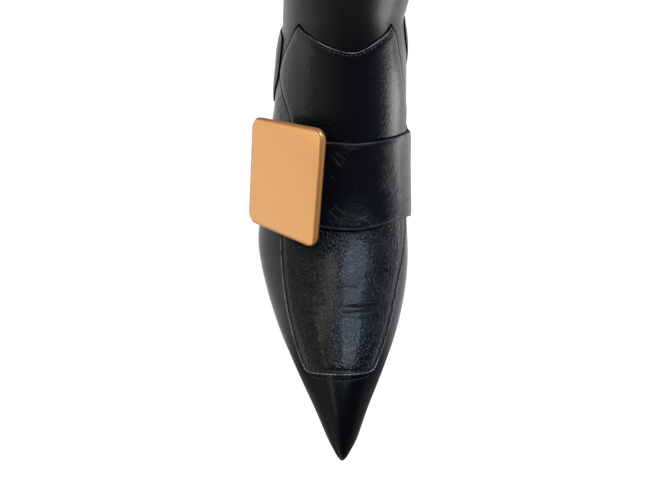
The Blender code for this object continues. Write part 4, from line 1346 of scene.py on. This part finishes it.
class BOOTIE_OT_panels(bpy.types.Operator):
    """Add the front panel with its rolled seam and the back panel"""

    bl_idname = "bootie.panels"
    bl_label = "Front and back panels"

    def execute(self, context):
        settings = context.scene.bootie
        self.front_panel(settings)
        self.back_panel(settings)
        return {"FINISHED"}

    def front_panel(self, settings):
        """The apron with its rolled seam, and the tongue that it runs up into."""
        seams = settings.seams
        across = 2 * shares(*APRON_ACROSS)[None, :] - 1
        along = shares(*APRON_ALONG)[:, None]
        start, stop = apron_ends(across)
        rows = start + (stop - start) * along
        turns = apron_turns(rows, across)
        base = last_point(rows, turns, -LAY)
        sides = base[:, [0, -1]]
        rolled = distance_to(base, np.concatenate([sides.reshape(-1, 3), base[0]]))
        scallop = distance_to(base, base[-1])
        edge = np.minimum(rolled, scallop)
        beads = self.beads(base, across, seams.bead_pitch)
        strength = 1 - step_over(rows, RIDGE_FADE_ROWS)
        width = seams.ridge_width
        from_top = rolled - width / 2
        ridge = seams.ridge_height * beads * bell(from_top, RIDGE_FULLNESS * width / 2)
        groove = RIDGE_GROOVE * bell(rolled - RIDGE_GROOVE_PLACE * width, RIDGE_GROOVE_WIDTH * width)
        stitched = EDGE_GROOVE * bell(scallop - EDGE_STITCH_IN, GROOVE_WIDTH)
        relief = (ridge - groove) * strength + crease_relief(rows, turns, APRON_CREASES) - stitched
        inside_edge = np.clip(edge / PANEL_ROUND, 0, 1)
        face = last_point(rows, turns, -panel_height(edge) - relief * inside_edge)
        tongue = step_over(rows, TONGUE_ROWS)
        tongue_sides = distance_to(base, sides[rows[:, 0] > RIDGE_FADE_ROWS[0]].reshape(-1, 3))
        # painted highlights: a thin light line along the scallop, and light dashes along the rolled seam
        wear_and_highlight, wear_and_highlight_width = SCALLOP_HIGHLIGHT
        scallop_highlight = wear_and_highlight * bell(scallop - SCALLOP_HIGHLIGHT_IN, wear_and_highlight_width)
        scallop_highlight = scallop_highlight * step_over(np.abs(across), SCALLOP_HIGHLIGHT_ACROSS)
        on_beads = step_over(beads, RIDGE_HIGHLIGHT_BEADS)
        dashes = RIDGE_HIGHLIGHT_BETWEEN + (1 - RIDGE_HIGHLIGHT_BETWEEN) * on_beads
        ridge_highlight = strength * dashes * bell(from_top, RIDGE_HIGHLIGHT_WIDTH)
        # painted shade along the tongue's sides, as a matte black band
        tongue_side_shade = (1 - strength) * bell(tongue_sides, TONGUE_SIDE_SHADE, 4)
        wrinkles = crease_mask(rows, turns, APRON_CREASES, APRON_SPREAD)
        marks = {
            "flex": wrinkles * (1 - TONGUE_WRINKLE_LOSS * tongue),
            "edge": np.maximum(scallop_highlight, ridge_highlight),
            "raw_and_shade": np.maximum(tongue_side_shade, bell(scallop, RAW_AND_SHADED_EDGE, 4)),
            "pebble": 1 - TONGUE_GRAIN_LOSS * tongue,
        }
        mesh = closed_mesh("apron_leather", base, face, marks)
        material = calf("apron_calf", settings.leather, roughness=-0.08, grain=1.0, pebbles=1.0)
        add_piece("apron_leather", mesh, material, ["apron_tongue"])

    def beads(self, base, across, pitch):
        """Height of the rolled seam's beads, as a share of it, by the distance along the nearest edge."""
        sides = base[:, [0, -1]]
        up_sides = np.cumsum(np.linalg.norm(np.diff(sides, axis=0, prepend=sides[:1]), axis=2), axis=0)
        run = np.where(across < 0, up_sides[:, :1], up_sides[:, 1:])
        over_toe = np.cumsum(np.linalg.norm(np.diff(base[0], axis=0, prepend=base[:1, 0]), axis=1))[None, :]
        at_toe = distance_to(base, base[0]) < distance_to(base, sides.reshape(-1, 3))
        wave = np.cos(2 * math.pi * np.where(at_toe, over_toe, run) / pitch)
        return 1 - RIDGE_BEADS + RIDGE_BEADS * wave

    def back_panel(self, settings):
        """The panel round the heel, with the seam down its back."""
        bend, near_collar = QUARTER_GRID_ROWS
        shaft = (QUARTER_CLOSE_ROW, 46, near_collar, 10, COLLAR)
        rows = runs(QUARTER[0][0], 40, bend, 34, *shaft)[:, None]
        lateral, medial, hem = quarter_edges(rows)
        share = shares(*QUARTER_AROUND)[None, :]
        seam = share.shape[1] - 1
        lateral_turns = lateral + (hem - lateral) * share
        medial_turns = medial + (hem - medial) * share[:, ::-1]
        turns = np.concatenate([lateral_turns, -medial_turns], axis=1)
        closed = np.flatnonzero(rows[:, 0] >= QUARTER_CLOSE_ROW)
        open_rows = np.flatnonzero(rows[:, 0] <= QUARTER_CLOSE_ROW)
        base = meet(last_point(rows, turns, -LAY), closed, seam, seam + 1)
        hem_lines = base[open_rows][:, [seam, seam + 1]].reshape(-1, 3)
        border = np.concatenate([base[:, 0], base[:, -1], base[0], base[-1], hem_lines])
        edge = distance_to(base, border)
        fronts = distance_to(base, base[:, [0, -1]].reshape(-1, 3))
        join = QUARTER_JOIN * bell(distance_to(base, base[closed, seam]), QUARTER_JOIN_WIDTH)
        relief = crease_relief(rows, turns, QUARTER_CREASES) - join
        inside_edge = np.clip(edge / PANEL_ROUND, 0, 1)
        face = last_point(rows, turns, -panel_height(edge) - relief * inside_edge)
        face = meet(face, closed, seam, seam + 1)
        marks = {
            "flex": QUARTER_WRINKLES * crease_mask(rows, turns, QUARTER_CREASES, QUARTER_SPREAD),
            "edge": 0.0,
            # matte black: a share over the whole panel, and the raw edges of its fronts, which are also
            # painted seam shade
            "raw_and_shade": np.maximum(SHAFT_MATTE_SHARE, bell(fronts, RAW_AND_SHADED_EDGE, 4)),
            "pebble": 1.0,
        }
        mesh = closed_mesh("quarter_leather", base, face, marks, open_column=seam)
        material = calf("quarter_calf", settings.leather, roughness=0.0, grain=0.6, pebbles=0.1)
        add_piece("quarter_leather", mesh, material, ["back_quarter"])


class BOOTIE_OT_strap(bpy.types.Operator):
    """Add the strap over the instep"""

    bl_idname = "bootie.strap"
    bl_label = "Strap"

    def execute(self, context):
        turn = np.linspace(-STRAP_END, STRAP_END, STRAP_STEPS)[:, None]
        across = shares(*STRAP_ACROSS)[None, :]
        row, lift = strap_places(turn, across)
        turns = np.broadcast_to(turn, row.shape)
        base = last_point(row, turns, -GAP - lift)
        edge = distance_to(base, base[:, [0, -1]].reshape(-1, 3))
        relief = crease_relief(row, turns, STRAP_CREASES)
        swell = STRAP - STRAP_THINNED * (1 - ease(edge / STRAP_SKIVE))
        top = swell - round_off(edge, STRAP_EDGE_ROUND) + relief * np.clip(edge / STRAP_EDGE_ROUND, 0, 1)
        face = last_point(row, turns, -GAP - lift - top)
        wrinkles = crease_mask(row, turns, STRAP_CREASES, STRAP_SPREAD)
        crackle = CRACKLE_SHARE * scratch_mask(row, turns, STRAP_SCRATCHES)
        wear_and_highlight, wear_and_highlight_width = STRAP_WEAR_AND_HIGHLIGHT
        marks = {
            "flex": np.maximum(wrinkles, crackle),
            # a lighter line in from each edge: rubbed wear and painted highlight
            "edge": wear_and_highlight * bell(edge - STRAP_WEAR_AND_HIGHLIGHT_IN, wear_and_highlight_width),
            "reach": reach_of(row),
            "around": around_of(row, turns),
            "raw_and_shade": STRAP_RAW_SHARE * bell(edge, STRAP_RAW_EDGE, 4),
            "pebble": 1.0,
        }
        mesh = closed_mesh("strap_leather", base, face, marks)
        material = calf("strap_calf", context.scene.bootie.leather, roughness=0.0, grain=0.8, pebbles=0.2,
                        scratches=STRAP_SCRATCHES)
        add_piece("strap_leather", mesh, material, ["strap"])
        return {"FINISHED"}


def rounded_square(half, radius, corner_steps=14, side_steps=10):
    """Outline of a square with round corners, as points in its plane."""
    middle = half - radius
    angle = np.linspace(0, math.pi / 2, corner_steps + 1)
    arc = middle + radius * np.column_stack([np.cos(angle), np.sin(angle)])
    along = np.linspace(middle, -middle, side_steps + 1)[1:-1]
    side = np.column_stack([along, np.full_like(along, half)])
    quarters = [np.concatenate([arc, side])]
    for number in range(3):
        x, y = quarters[number].T
        quarters.append(np.column_stack([-y, x]))
    return np.concatenate(quarters)


def tube_faces(rings, first=0):
    """Faces of a tube through rings of points, numbered on from this first point."""
    count = len(rings[0])
    faces = []
    for low in range(first, first + (len(rings) - 1) * count, count):
        for j in range(count):
            after = (j + 1) % count
            faces.append([low + j, low + after, low + count + after, low + count + j])
    return faces


def ring_mesh(name, rings):
    """A mesh through rings of points, closed at both ends by a point in their middle."""
    count = len(rings[0])
    points = [point for ring in rings for point in ring]
    first = len(points)
    points += [np.mean(rings[0], axis=0), np.mean(rings[-1], axis=0)]
    faces = tube_faces(rings)
    top = (len(rings) - 1) * count
    for j in range(count):
        after = (j + 1) % count
        faces.append([after, j, first])
        faces.append([top + j, top + after, first + 1])
    mesh = bpy.data.meshes.new(name)
    mesh.from_pydata([tuple(point) for point in points], [], faces)
    tidy_mesh(mesh)
    return mesh


class BOOTIE_OT_plate(bpy.types.Operator):
    """Add the square plate and its posts where the CAD plate is"""

    bl_idname = "bootie.plate"
    bl_label = "Plate"

    def execute(self, context):
        plate = context.scene.bootie.plate
        facing = Matrix.Rotation(-PLATE_FACING, 3, "Z") @ Matrix.Rotation(math.pi / 2 - PLATE_LEAN, 3, "X")
        axes = np.array(facing @ Matrix.Rotation(PLATE_SPIN, 3, "Z"))
        cad = np.array([vert.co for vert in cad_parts["plate"].data.vertices]) @ axes
        low = cad.min(axis=0)
        high = cad.max(axis=0)
        middle = np.array([(low[0] + high[0]) / 2, (low[1] + high[1]) / 2, high[2] - PLATE_THICKNESS])
        if abs(high[0] - low[0] - PLATE_SIDE) > GAP:
            raise RuntimeError("the CAD plate isn't where its angles say")
        material = gold("plate_gold", plate)
        mesh = ring_mesh("plate_gold", self.rings(plate.crown))
        self.mark_rim(mesh)
        self.into_place(mesh, middle, axes)
        add_piece("plate_gold", mesh, material, ["plate"], sharp=PLATE_SHARP_EDGE)
        for number, (along, across) in enumerate(POST_PLACES):
            near = np.hypot(cad[:, 0] - middle[0] - along, cad[:, 1] - middle[1] - across) < 1.2 * POST_RADIUS
            foot = cad[near, 2].min() - middle[2]
            mesh = ring_mesh("plate_post_%d" % number, self.post_rings(along, across, foot))
            self.into_place(mesh, middle, axes)
            add_piece("plate_post_%d" % number, mesh, material, sharp=PLATE_SHARP_EDGE)
        return {"FINISHED"}

    def rings(self, crown):
        """Rings from the middle of the back over the rim to the middle of the face."""
        half = PLATE_SIDE / 2
        back_edge = PLATE_BACK_ROUND * PLATE_EDGE
        profile = [(0.0, inset) for inset in (*PLATE_BACK_INSETS, back_edge)]
        for k in range(1, 6):
            angle = math.pi / 2 * k / 5
            profile.append((back_edge * (1 - math.cos(angle)), back_edge * (1 - math.sin(angle))))
        rim_top = PLATE_THICKNESS - crown
        for k in range(10):
            angle = math.pi / 2 * k / 9
            profile.append((rim_top - PLATE_ROLL * (1 - math.sin(angle)), PLATE_ROLL * (1 - math.cos(angle))))
        for inset in PLATE_FACE_INSETS:
            share = (inset - PLATE_ROLL) / (half - PLATE_ROLL)
            profile.append((PLATE_THICKNESS - crown * (1 - share) ** 2, inset))
        rings = []
        for height, inset in profile:
            outline = rounded_square(half - inset, max(PLATE_CORNER - inset, PLATE_FACE_CORNER))
            rings.append(np.column_stack([outline, np.full(len(outline), height)]))
        return rings

    def mark_rim(self, mesh):
        """Mark the rim and the back of the plate on its points, while it lies flat."""
        points = np.array([vert.co for vert in mesh.vertices])
        inset = PLATE_SIDE / 2 - np.abs(points[:, :2]).max(axis=1)
        marks = {
            "rim": 1 - ease((inset - 0.6 * PLATE_ROLL) / PLATE_ROLL),
            "back": 1 - ease(points[:, 2] / (0.5 * PLATE_THICKNESS)),
        }
        for name, values in marks.items():
            mesh.attributes.new(name, "FLOAT", "POINT").data.foreach_set("value", values.astype(np.float32))

    def post_rings(self, along, across, foot):
        """Rings of a post from its foot on the strap up into the plate."""
        angle = np.linspace(0, 2 * math.pi, 24, endpoint=False)
        profile = ((foot, 0.8), (foot + 0.0003, 0.95), (foot + 0.0006, 1.0), (0.0006, 1.0), (0.0008, 0.9))
        rings = []
        for height, radius in profile:
            x = along + radius * POST_RADIUS * np.cos(angle)
            y = across + radius * POST_RADIUS * np.sin(angle)
            rings.append(np.column_stack([x, y, np.full(len(angle), height)]))
        return rings

    def into_place(self, mesh, middle, axes):
        """Move a mesh from the plate's own axes to its place on the shoe."""
        mesh.transform(Matrix(axes.tolist()).to_4x4() @ Matrix.Translation(middle.tolist()))


def plan_offset(edge, side, distance):
    """An edge line moved outwards in plan; side is 1 for the lateral edge and -1 for the medial one.

    The distance is one number, or one for each point of the line.
    """
    run = np.gradient(edge[:, :2], axis=0)
    run /= np.linalg.norm(run, axis=1)[:, None]
    outward = side * np.stack([-run[:, 1], run[:, 0]], axis=1)
    return edge[:, :2] + np.reshape(distance, (-1, 1)) * outward


def board_faces(lateral, medial, drop_lower, drop_upper, undercut, rounding):
    """Upper and lower grid of a board under the foot with rounded edges, from its plan at both sides."""
    across = shares(*BOARD_ACROSS)[None, :, None]
    grids = []
    for drop, margin, sense in ((drop_lower, undercut, -1), (drop_upper, 0.0, 1)):
        middle = (lateral + medial) / 2
        width = np.linalg.norm(lateral - medial, axis=1)[:, None, None]
        shrink = 1 - 2 * margin / np.maximum(width, 4 * margin + TINY)
        plan = middle[:, None] + (lateral - medial)[:, None] * (across - 0.5) * shrink
        distance = (np.minimum(across, 1 - across) * width)[..., 0]
        depth = drop + sense * round_off(distance, rounding)
        back = plan[..., 1] + HALF_LENGTH
        incline = feather_incline(back)
        y = plan[..., 1] + depth * np.sin(incline)
        height = feather_height(back) - depth * np.cos(incline)
        grids.append(np.stack([plan[..., 0], y, height], axis=-1))
    return grids


class BOOTIE_OT_sole(bpy.types.Operator):
    """Add the sole with rounded edges and the sock on the insole"""

    bl_idname = "bootie.sole"
    bl_label = "Sole and sock"

    def execute(self, context):
        settings = context.scene.bootie
        sole = settings.sole
        rows = runs(0, 14, 1, 84, HEEL_WAIST, 20, HEEL_CORNER - 2, 36, HEEL_CORNER)
        full = ease(rows / SOLE_TOE_ROWS)
        edges = {side: last_point(rows, side) for side in (1, -1)}
        for edge in edges.values():
            edge[:, 1] += SOLE_SET_BACK * (1 - full)
        lateral, medial = (plan_offset(edges[side], side, SOLE_MARGIN * full) for side in (1, -1))
        lateral[0] = medial[0] = (lateral[0] + medial[0]) / 2
        grids = board_faces(lateral, medial, GAP + OUTSOLE, GAP, SOLE_UNDERCUT, sole.edge_round)
        material = plain_leather("sole_leather", sole.colour, roughness=0.42, grain_size=0.0014,
                                 grain_depth=0.00003)
        add_piece("sole_leather", closed_mesh("sole_leather", *grids), material, ["outsole"])
        rows = runs(INSOLE_START_ROW, 80, HEEL_WAIST, 20, HEEL_CORNER - 2, 30, HEEL_CORNER)
        lateral, medial = (plan_offset(lining_point(rows, side), side, -INSOLE_MARGIN) for side in (1, -1))
        grids = board_faces(lateral, medial, 0.0, -INSOLE, 0.0, INSOLE_ROUND)
        material = plain_leather("sock_leather", settings.leather.lining_colour, roughness=0.58,
                                 grain_size=0.0012, grain_depth=0.00003)
        add_piece("sock_leather", closed_mesh("sock_leather", *grids), material, ["insole"])
        return {"FINISHED"}


def heel_outline(half, breast, back):
    """Plan of a heel as one loop: straight sides from the breast, a half circle behind, and the breast."""
    side = np.linspace(breast, back - half, 14, endpoint=False)
    angle = np.linspace(math.pi / 2, -math.pi / 2, 57)
    front = np.linspace(1, -1, 20)[1:-1]
    straight = np.full_like(side, half)
    x = np.concatenate([straight, half * np.sin(angle), -straight, -half * front])
    y = np.concatenate([side, back - half + half * np.cos(angle), side[::-1], np.full_like(front, breast)])
    return np.stack([x + PLATE_OVERHANG, y - HALF_LENGTH], axis=1)


class BOOTIE_OT_heel(bpy.types.Operator):
    """Add the heel block and its top lift"""

    bl_idname = "bootie.heel"
    bl_label = "Heel and top lift"

    def execute(self, context):
        sole = context.scene.bootie.sole
        seat = heel_outline(HEEL_HALF, HEEL_BREAST, HEEL_BACK)
        foot = heel_outline(HEEL_FOOT_HALF, HEEL_FOOT_BREAST, HEEL_FOOT_BACK)
        back = seat[:, 1] + HALF_LENGTH
        top = feather_height(back) - (OUTSOLE + 2 * GAP) / np.cos(feather_incline(back))
        low = TOP_LIFT + GAP
        rings = []
        between = np.linspace(HEEL_CLOSE_RING, 1 - HEEL_CLOSE_RING, 24)
        for share in (0.0, *between, 1.0):
            plan = foot + (seat - foot) * share
            rings.append(np.column_stack([plan, low + (top - low) * share]))
        material = plain_leather("heel_leather", sole.heel_colour, roughness=0.36, grain_size=0.0010,
                                 grain_depth=0.00001)
        mesh = ring_mesh("heel_block", rings)
        heel = add_piece("heel_block", mesh, material, ["heel"], sharp=SHARP_EDGE)
        self.soften(heel, HEEL_ROUND)
        rings = [np.column_stack([foot, np.full(len(foot), height)]) for height in (0.0, TOP_LIFT)]
        material = lift_rubber("lift_rubber", sole)
        mesh = ring_mesh("heel_lift", rings)
        lift = add_piece("heel_lift", mesh, material, ["heel_top_lift"], sharp=SHARP_EDGE)
        self.soften(lift, LIFT_ROUND)
        return {"FINISHED"}

    def soften(self, piece, width):
        """Round off the sharp edges of a piece."""
        bevel = piece.modifiers.new("soft_edges", "BEVEL")
        bevel.width = width
        bevel.segments = 3
        bevel.limit_method = "ANGLE"
        bevel.angle_limit = math.radians(SHARP_EDGE)


def surface_line(rows, turns, height):
    """Points along a line over the last at a height above it, and the outward direction at each."""
    points = last_point(rows, turns, -height)
    outward = last_point(rows, turns, -height - OUTWARD_STEP) - points
    return points, outward / np.linalg.norm(outward, axis=1)[:, None]


def along_run(at, run, rows):
    """One row between those given, at a distance along their run."""
    return np.array([np.interp(at, run, column) for column in rows.T])


def stitch_rings(points, outward, seams):
    """Rings of points for every stitch along a line, sunk at both ends."""
    run = np.concatenate([[0.0], np.cumsum(np.linalg.norm(np.diff(points, axis=0), axis=1))])
    pitch = seams.stitch_length + seams.stitch_gap
    count = int(run[-1] / pitch)
    angle = np.linspace(0, 2 * math.pi, 7, endpoint=False)
    half_profile = ((0.0, 0.35, -0.6), (0.1, 0.8, -0.1), (0.3, 1.0, 0.25))
    mirrored = [(1 - share, width, lift) for share, width, lift in reversed(half_profile)]
    profile = (*half_profile, (0.5, 1.0, 0.35), *mirrored)
    stitches = []
    for number in range(count):
        begin = (run[-1] - count * pitch + seams.stitch_gap) / 2 + number * pitch
        rings = []
        for share, width, lift in profile:
            at = begin + share * seams.stitch_length
            middle = along_run(at, run, points)
            up = along_run(at, run, outward)
            ahead = along_run(at + STITCH_STEP, run, points) - middle
            aside = np.cross(up, ahead)
            aside /= max(np.linalg.norm(aside), TINY)
            radius = width * seams.thread / 2
            ring = middle + lift * seams.thread * up
            ring = ring + radius * (np.outer(np.cos(angle), aside) + np.outer(np.sin(angle), up))
            rings.append(ring)
        stitches.append(rings)
    return stitches


class BOOTIE_OT_stitches(bpy.types.Operator):
    """Add the rows of stitches along the seams and edges"""

    bl_idname = "bootie.stitches"
    bl_label = "Stitches"

    def execute(self, context):
        seams = context.scene.bootie.seams
        stitches = []
        for rows, turns, height in self.lines():
            points, outward = surface_line(rows, turns, height)
            stitches += stitch_rings(points, outward, seams)
        if not stitches:
            raise RuntimeError("no stitch line is long enough for a stitch")
        points = []
        faces = []
        for rings in stitches:
            count = len(rings[0])
            first = len(points)
            points += [tuple(point) for ring in rings for point in ring]
            faces += tube_faces(rings, first)
            faces.append([first + j for j in reversed(range(count))])
            faces.append([first + (len(rings) - 1) * count + j for j in range(count)])
        mesh = bpy.data.meshes.new("stitches")
        mesh.from_pydata(points, [], faces)
        add_piece("stitches", mesh, waxed_thread("stitch_thread", seams))
        return {"FINISHED"}

    def lines(self):
        """Every line of stitches as rows, turns and a height above the last."""
        across = np.linspace(-TOE_STITCH_SPAN, TOE_STITCH_SPAN, 240)
        start = apron_ends(across)[0]
        yield row_at(reach_of(start) - TOE_STITCH_AHEAD), apron_turns(start, across), -STITCH_BED
        across = np.linspace(-EDGE_STITCH_SPAN, EDGE_STITCH_SPAN, 400)
        stop = apron_ends(across)[1]
        rows = row_at(reach_of(stop) - EDGE_STITCH_SLANT * EDGE_STITCH_IN)
        yield rows, apron_turns(rows, across), panel_height(EDGE_STITCH_IN) - STITCH_BED
        collar_row = row_at(reach_of(COLLAR) - COLLAR_STITCH_DOWN)
        lateral, medial = (float(value) for value in quarter_edges(np.array(collar_row))[:2])
        on_quarter = panel_height(COLLAR_STITCH_DOWN) - COLLAR_STITCH_BED
        before, behind = COLLAR_STITCH_CLEAR
        spans = (
            (-medial + before, lateral - before, -STITCH_BED),
            (lateral + behind, COLLAR_STITCH_END, on_quarter),
            (-COLLAR_STITCH_END, -medial - behind, on_quarter),
        )
        for begin, end, height in spans:
            turns = np.linspace(begin, end, 300)
            yield np.full_like(turns, collar_row), turns, height


class BOOTIE_OT_stage(bpy.types.Operator):
    """Add the pale floor, the soft lights and the camera"""

    bl_idname = "bootie.stage"
    bl_label = "Stage"

    def execute(self, context):
        stage = context.scene.bootie.stage
        self.floor(context, stage)
        self.surround(context, stage)
        upwards = (math.pi, 0.0, math.radians(SIDE_HEADING))
        self.softbox(context, "side_light", *SIDE_LIGHT, stage.side, upwards)
        self.softbox(context, "plate_light", *PLATE_LIGHT, stage.plate)
        self.softbox(context, "cool_light", *COOL_LIGHT, stage.cool)
        for number, (x, y, length, heading) in enumerate(WARM_STRIPS):
            downwards = (0.0, 0.0, math.radians(heading))
            self.softbox(context, "warm_light_%d" % number, (x, y, WARM_HEIGHT), (WARM_WIDTH, length),
                         WARM_COLOUR, stage.warm, downwards)
        camera = bpy.data.cameras.new("camera")
        camera.lens = stage.lens
        camera.sensor_width = CAMERA_SENSOR
        camera.clip_start = CAMERA_NEAR
        view = bpy.data.objects.new("camera", camera)
        view.location = CAMERA_PLACE
        view.rotation_euler = (math.radians(CAMERA_TILT), 0.0, 0.0)
        context.scene.collection.objects.link(view)
        context.scene.camera = view
        context.scene.view_settings.view_transform = "Standard"
        return {"FINISHED"}

    def floor(self, context, stage):
        """A pale floor that glows round the shoe."""
        half = stage.floor_size / 2
        mesh = bpy.data.meshes.new("floor")
        corners = [(-half, -half, 0.0), (half, -half, 0.0), (half, half, 0.0), (-half, half, 0.0)]
        mesh.from_pydata(corners, [], [[0, 1, 2, 3]])
        shader = Shader(bpy.data.materials.new("floor"))
        place = shader.place()
        x, y = (shader.node("ShaderNodeSeparateXYZ", {}, {0: place}, output=axis) for axis in "XY")
        aside = (x - GLOW_ASIDE) / GLOW_HALF_WIDTH
        behind = (y - GLOW_BACK) / GLOW_HALF_LENGTH
        out = (aside ** 2.0 + behind ** 2.0) ** 0.5
        far = opaque((GLOW_FAR, GLOW_FAR, GLOW_FAR))
        glow = shader.mix(out.step(*GLOW_EDGE), opaque((1.0, 1.0, 1.0)), far)
        surface = shader.surface(Base_Color=opaque(stage.floor_colour), Roughness=0.9,
                                 Emission_Color=glow, Emission_Strength=stage.floor_glow)
        mesh.materials.append(shader.finish(surface))
        floor = bpy.data.objects.new("floor", mesh)
        context.scene.collection.objects.link(floor)
        floor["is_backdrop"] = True

    def surround(self, context, stage):
        """A surround that is grey near the floor, dark overhead and lighter on the outer side."""
        world = bpy.data.worlds.new("surround")
        context.scene.world = world
        shader = Shader(world)
        direction = shader.node("ShaderNodeTexCoord", output="Generated")
        x, up = (shader.node("ShaderNodeSeparateXYZ", {}, {0: direction}, output=axis) for axis in "XZ")
        grey = shader.node("ShaderNodeValToRGB", {"stops": SURROUND_GREYS}, {0: up * 0.5 + 0.5})
        strength = grey * stage.surround + (0.0 - x).step(*LEFT_WALL) * stage.left
        inputs = {"Color": opaque(SURROUND_TINT), "Strength": strength}
        light = shader.node("ShaderNodeBackground", {}, inputs)
        shader.node("ShaderNodeOutputWorld", {}, {"Surface": light})

    def softbox(self, context, name, place, size, colour, brightness, turned=None):
        """A flat light of this brightness, turned by these angles or else to face the shoe."""
        lamp = bpy.data.lights.new(name, "AREA")
        lamp.shape = "RECTANGLE"
        lamp.size, lamp.size_y = size
        lamp.color = colour
        lamp.energy = brightness * math.pi * size[0] * size[1]
        light = bpy.data.objects.new(name, lamp)
        light.location = place
        light.rotation_euler = turned or (SHOE - Vector(place)).to_track_quat("-Z", "Y").to_euler()
        context.scene.collection.objects.link(light)


class BOOTIE_PT_looks(bpy.types.Panel):
    """The bootie's pieces and settings in the sidebar"""

    bl_label = "Bootie"
    bl_space_type = "VIEW_3D"
    bl_region_type = "UI"
    bl_category = "Bootie"

    def draw(self, context):
        for operator in OPERATORS:
            self.layout.operator(operator.bl_idname)
        settings = context.scene.bootie
        for group in (settings.leather, settings.seams, settings.plate, settings.sole, settings.stage):
            box = self.layout.box()
            for name in group.bl_rna.properties.keys():
                if name not in ("rna_type", "name"):
                    box.prop(group, name)


OPERATORS = (
    BOOTIE_OT_upper,
    BOOTIE_OT_panels,
    BOOTIE_OT_strap,
    BOOTIE_OT_plate,
    BOOTIE_OT_sole,
    BOOTIE_OT_heel,
    BOOTIE_OT_stitches,
    BOOTIE_OT_stage,
)
GROUPS = (
    BOOTIE_PG_leather,
    BOOTIE_PG_seams,
    BOOTIE_PG_plate,
    BOOTIE_PG_sole,
    BOOTIE_PG_stage,
    BOOTIE_PG_settings,
)


def register():
    for item in (*GROUPS, *OPERATORS, BOOTIE_PT_looks):
        bpy.utils.register_class(item)
    bpy.types.Scene.bootie = bpy.props.PointerProperty(type=BOOTIE_PG_settings)


def unregister():
    del bpy.types.Scene.bootie
    for item in reversed((*GROUPS, *OPERATORS, BOOTIE_PT_looks)):
        bpy.utils.unregister_class(item)


def main():
    register()
    for operator in OPERATORS:
        group, name = operator.bl_idname.split(".")
        getattr(getattr(bpy.ops, group), name)()
    looks_low, looks_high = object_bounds()
    sizes = {
        "cad": [list(CAD_LOW), list(CAD_HIGH)],
        "looks": [list(looks_low), list(looks_high)],
    }


if __name__ == "__main__":
    main()
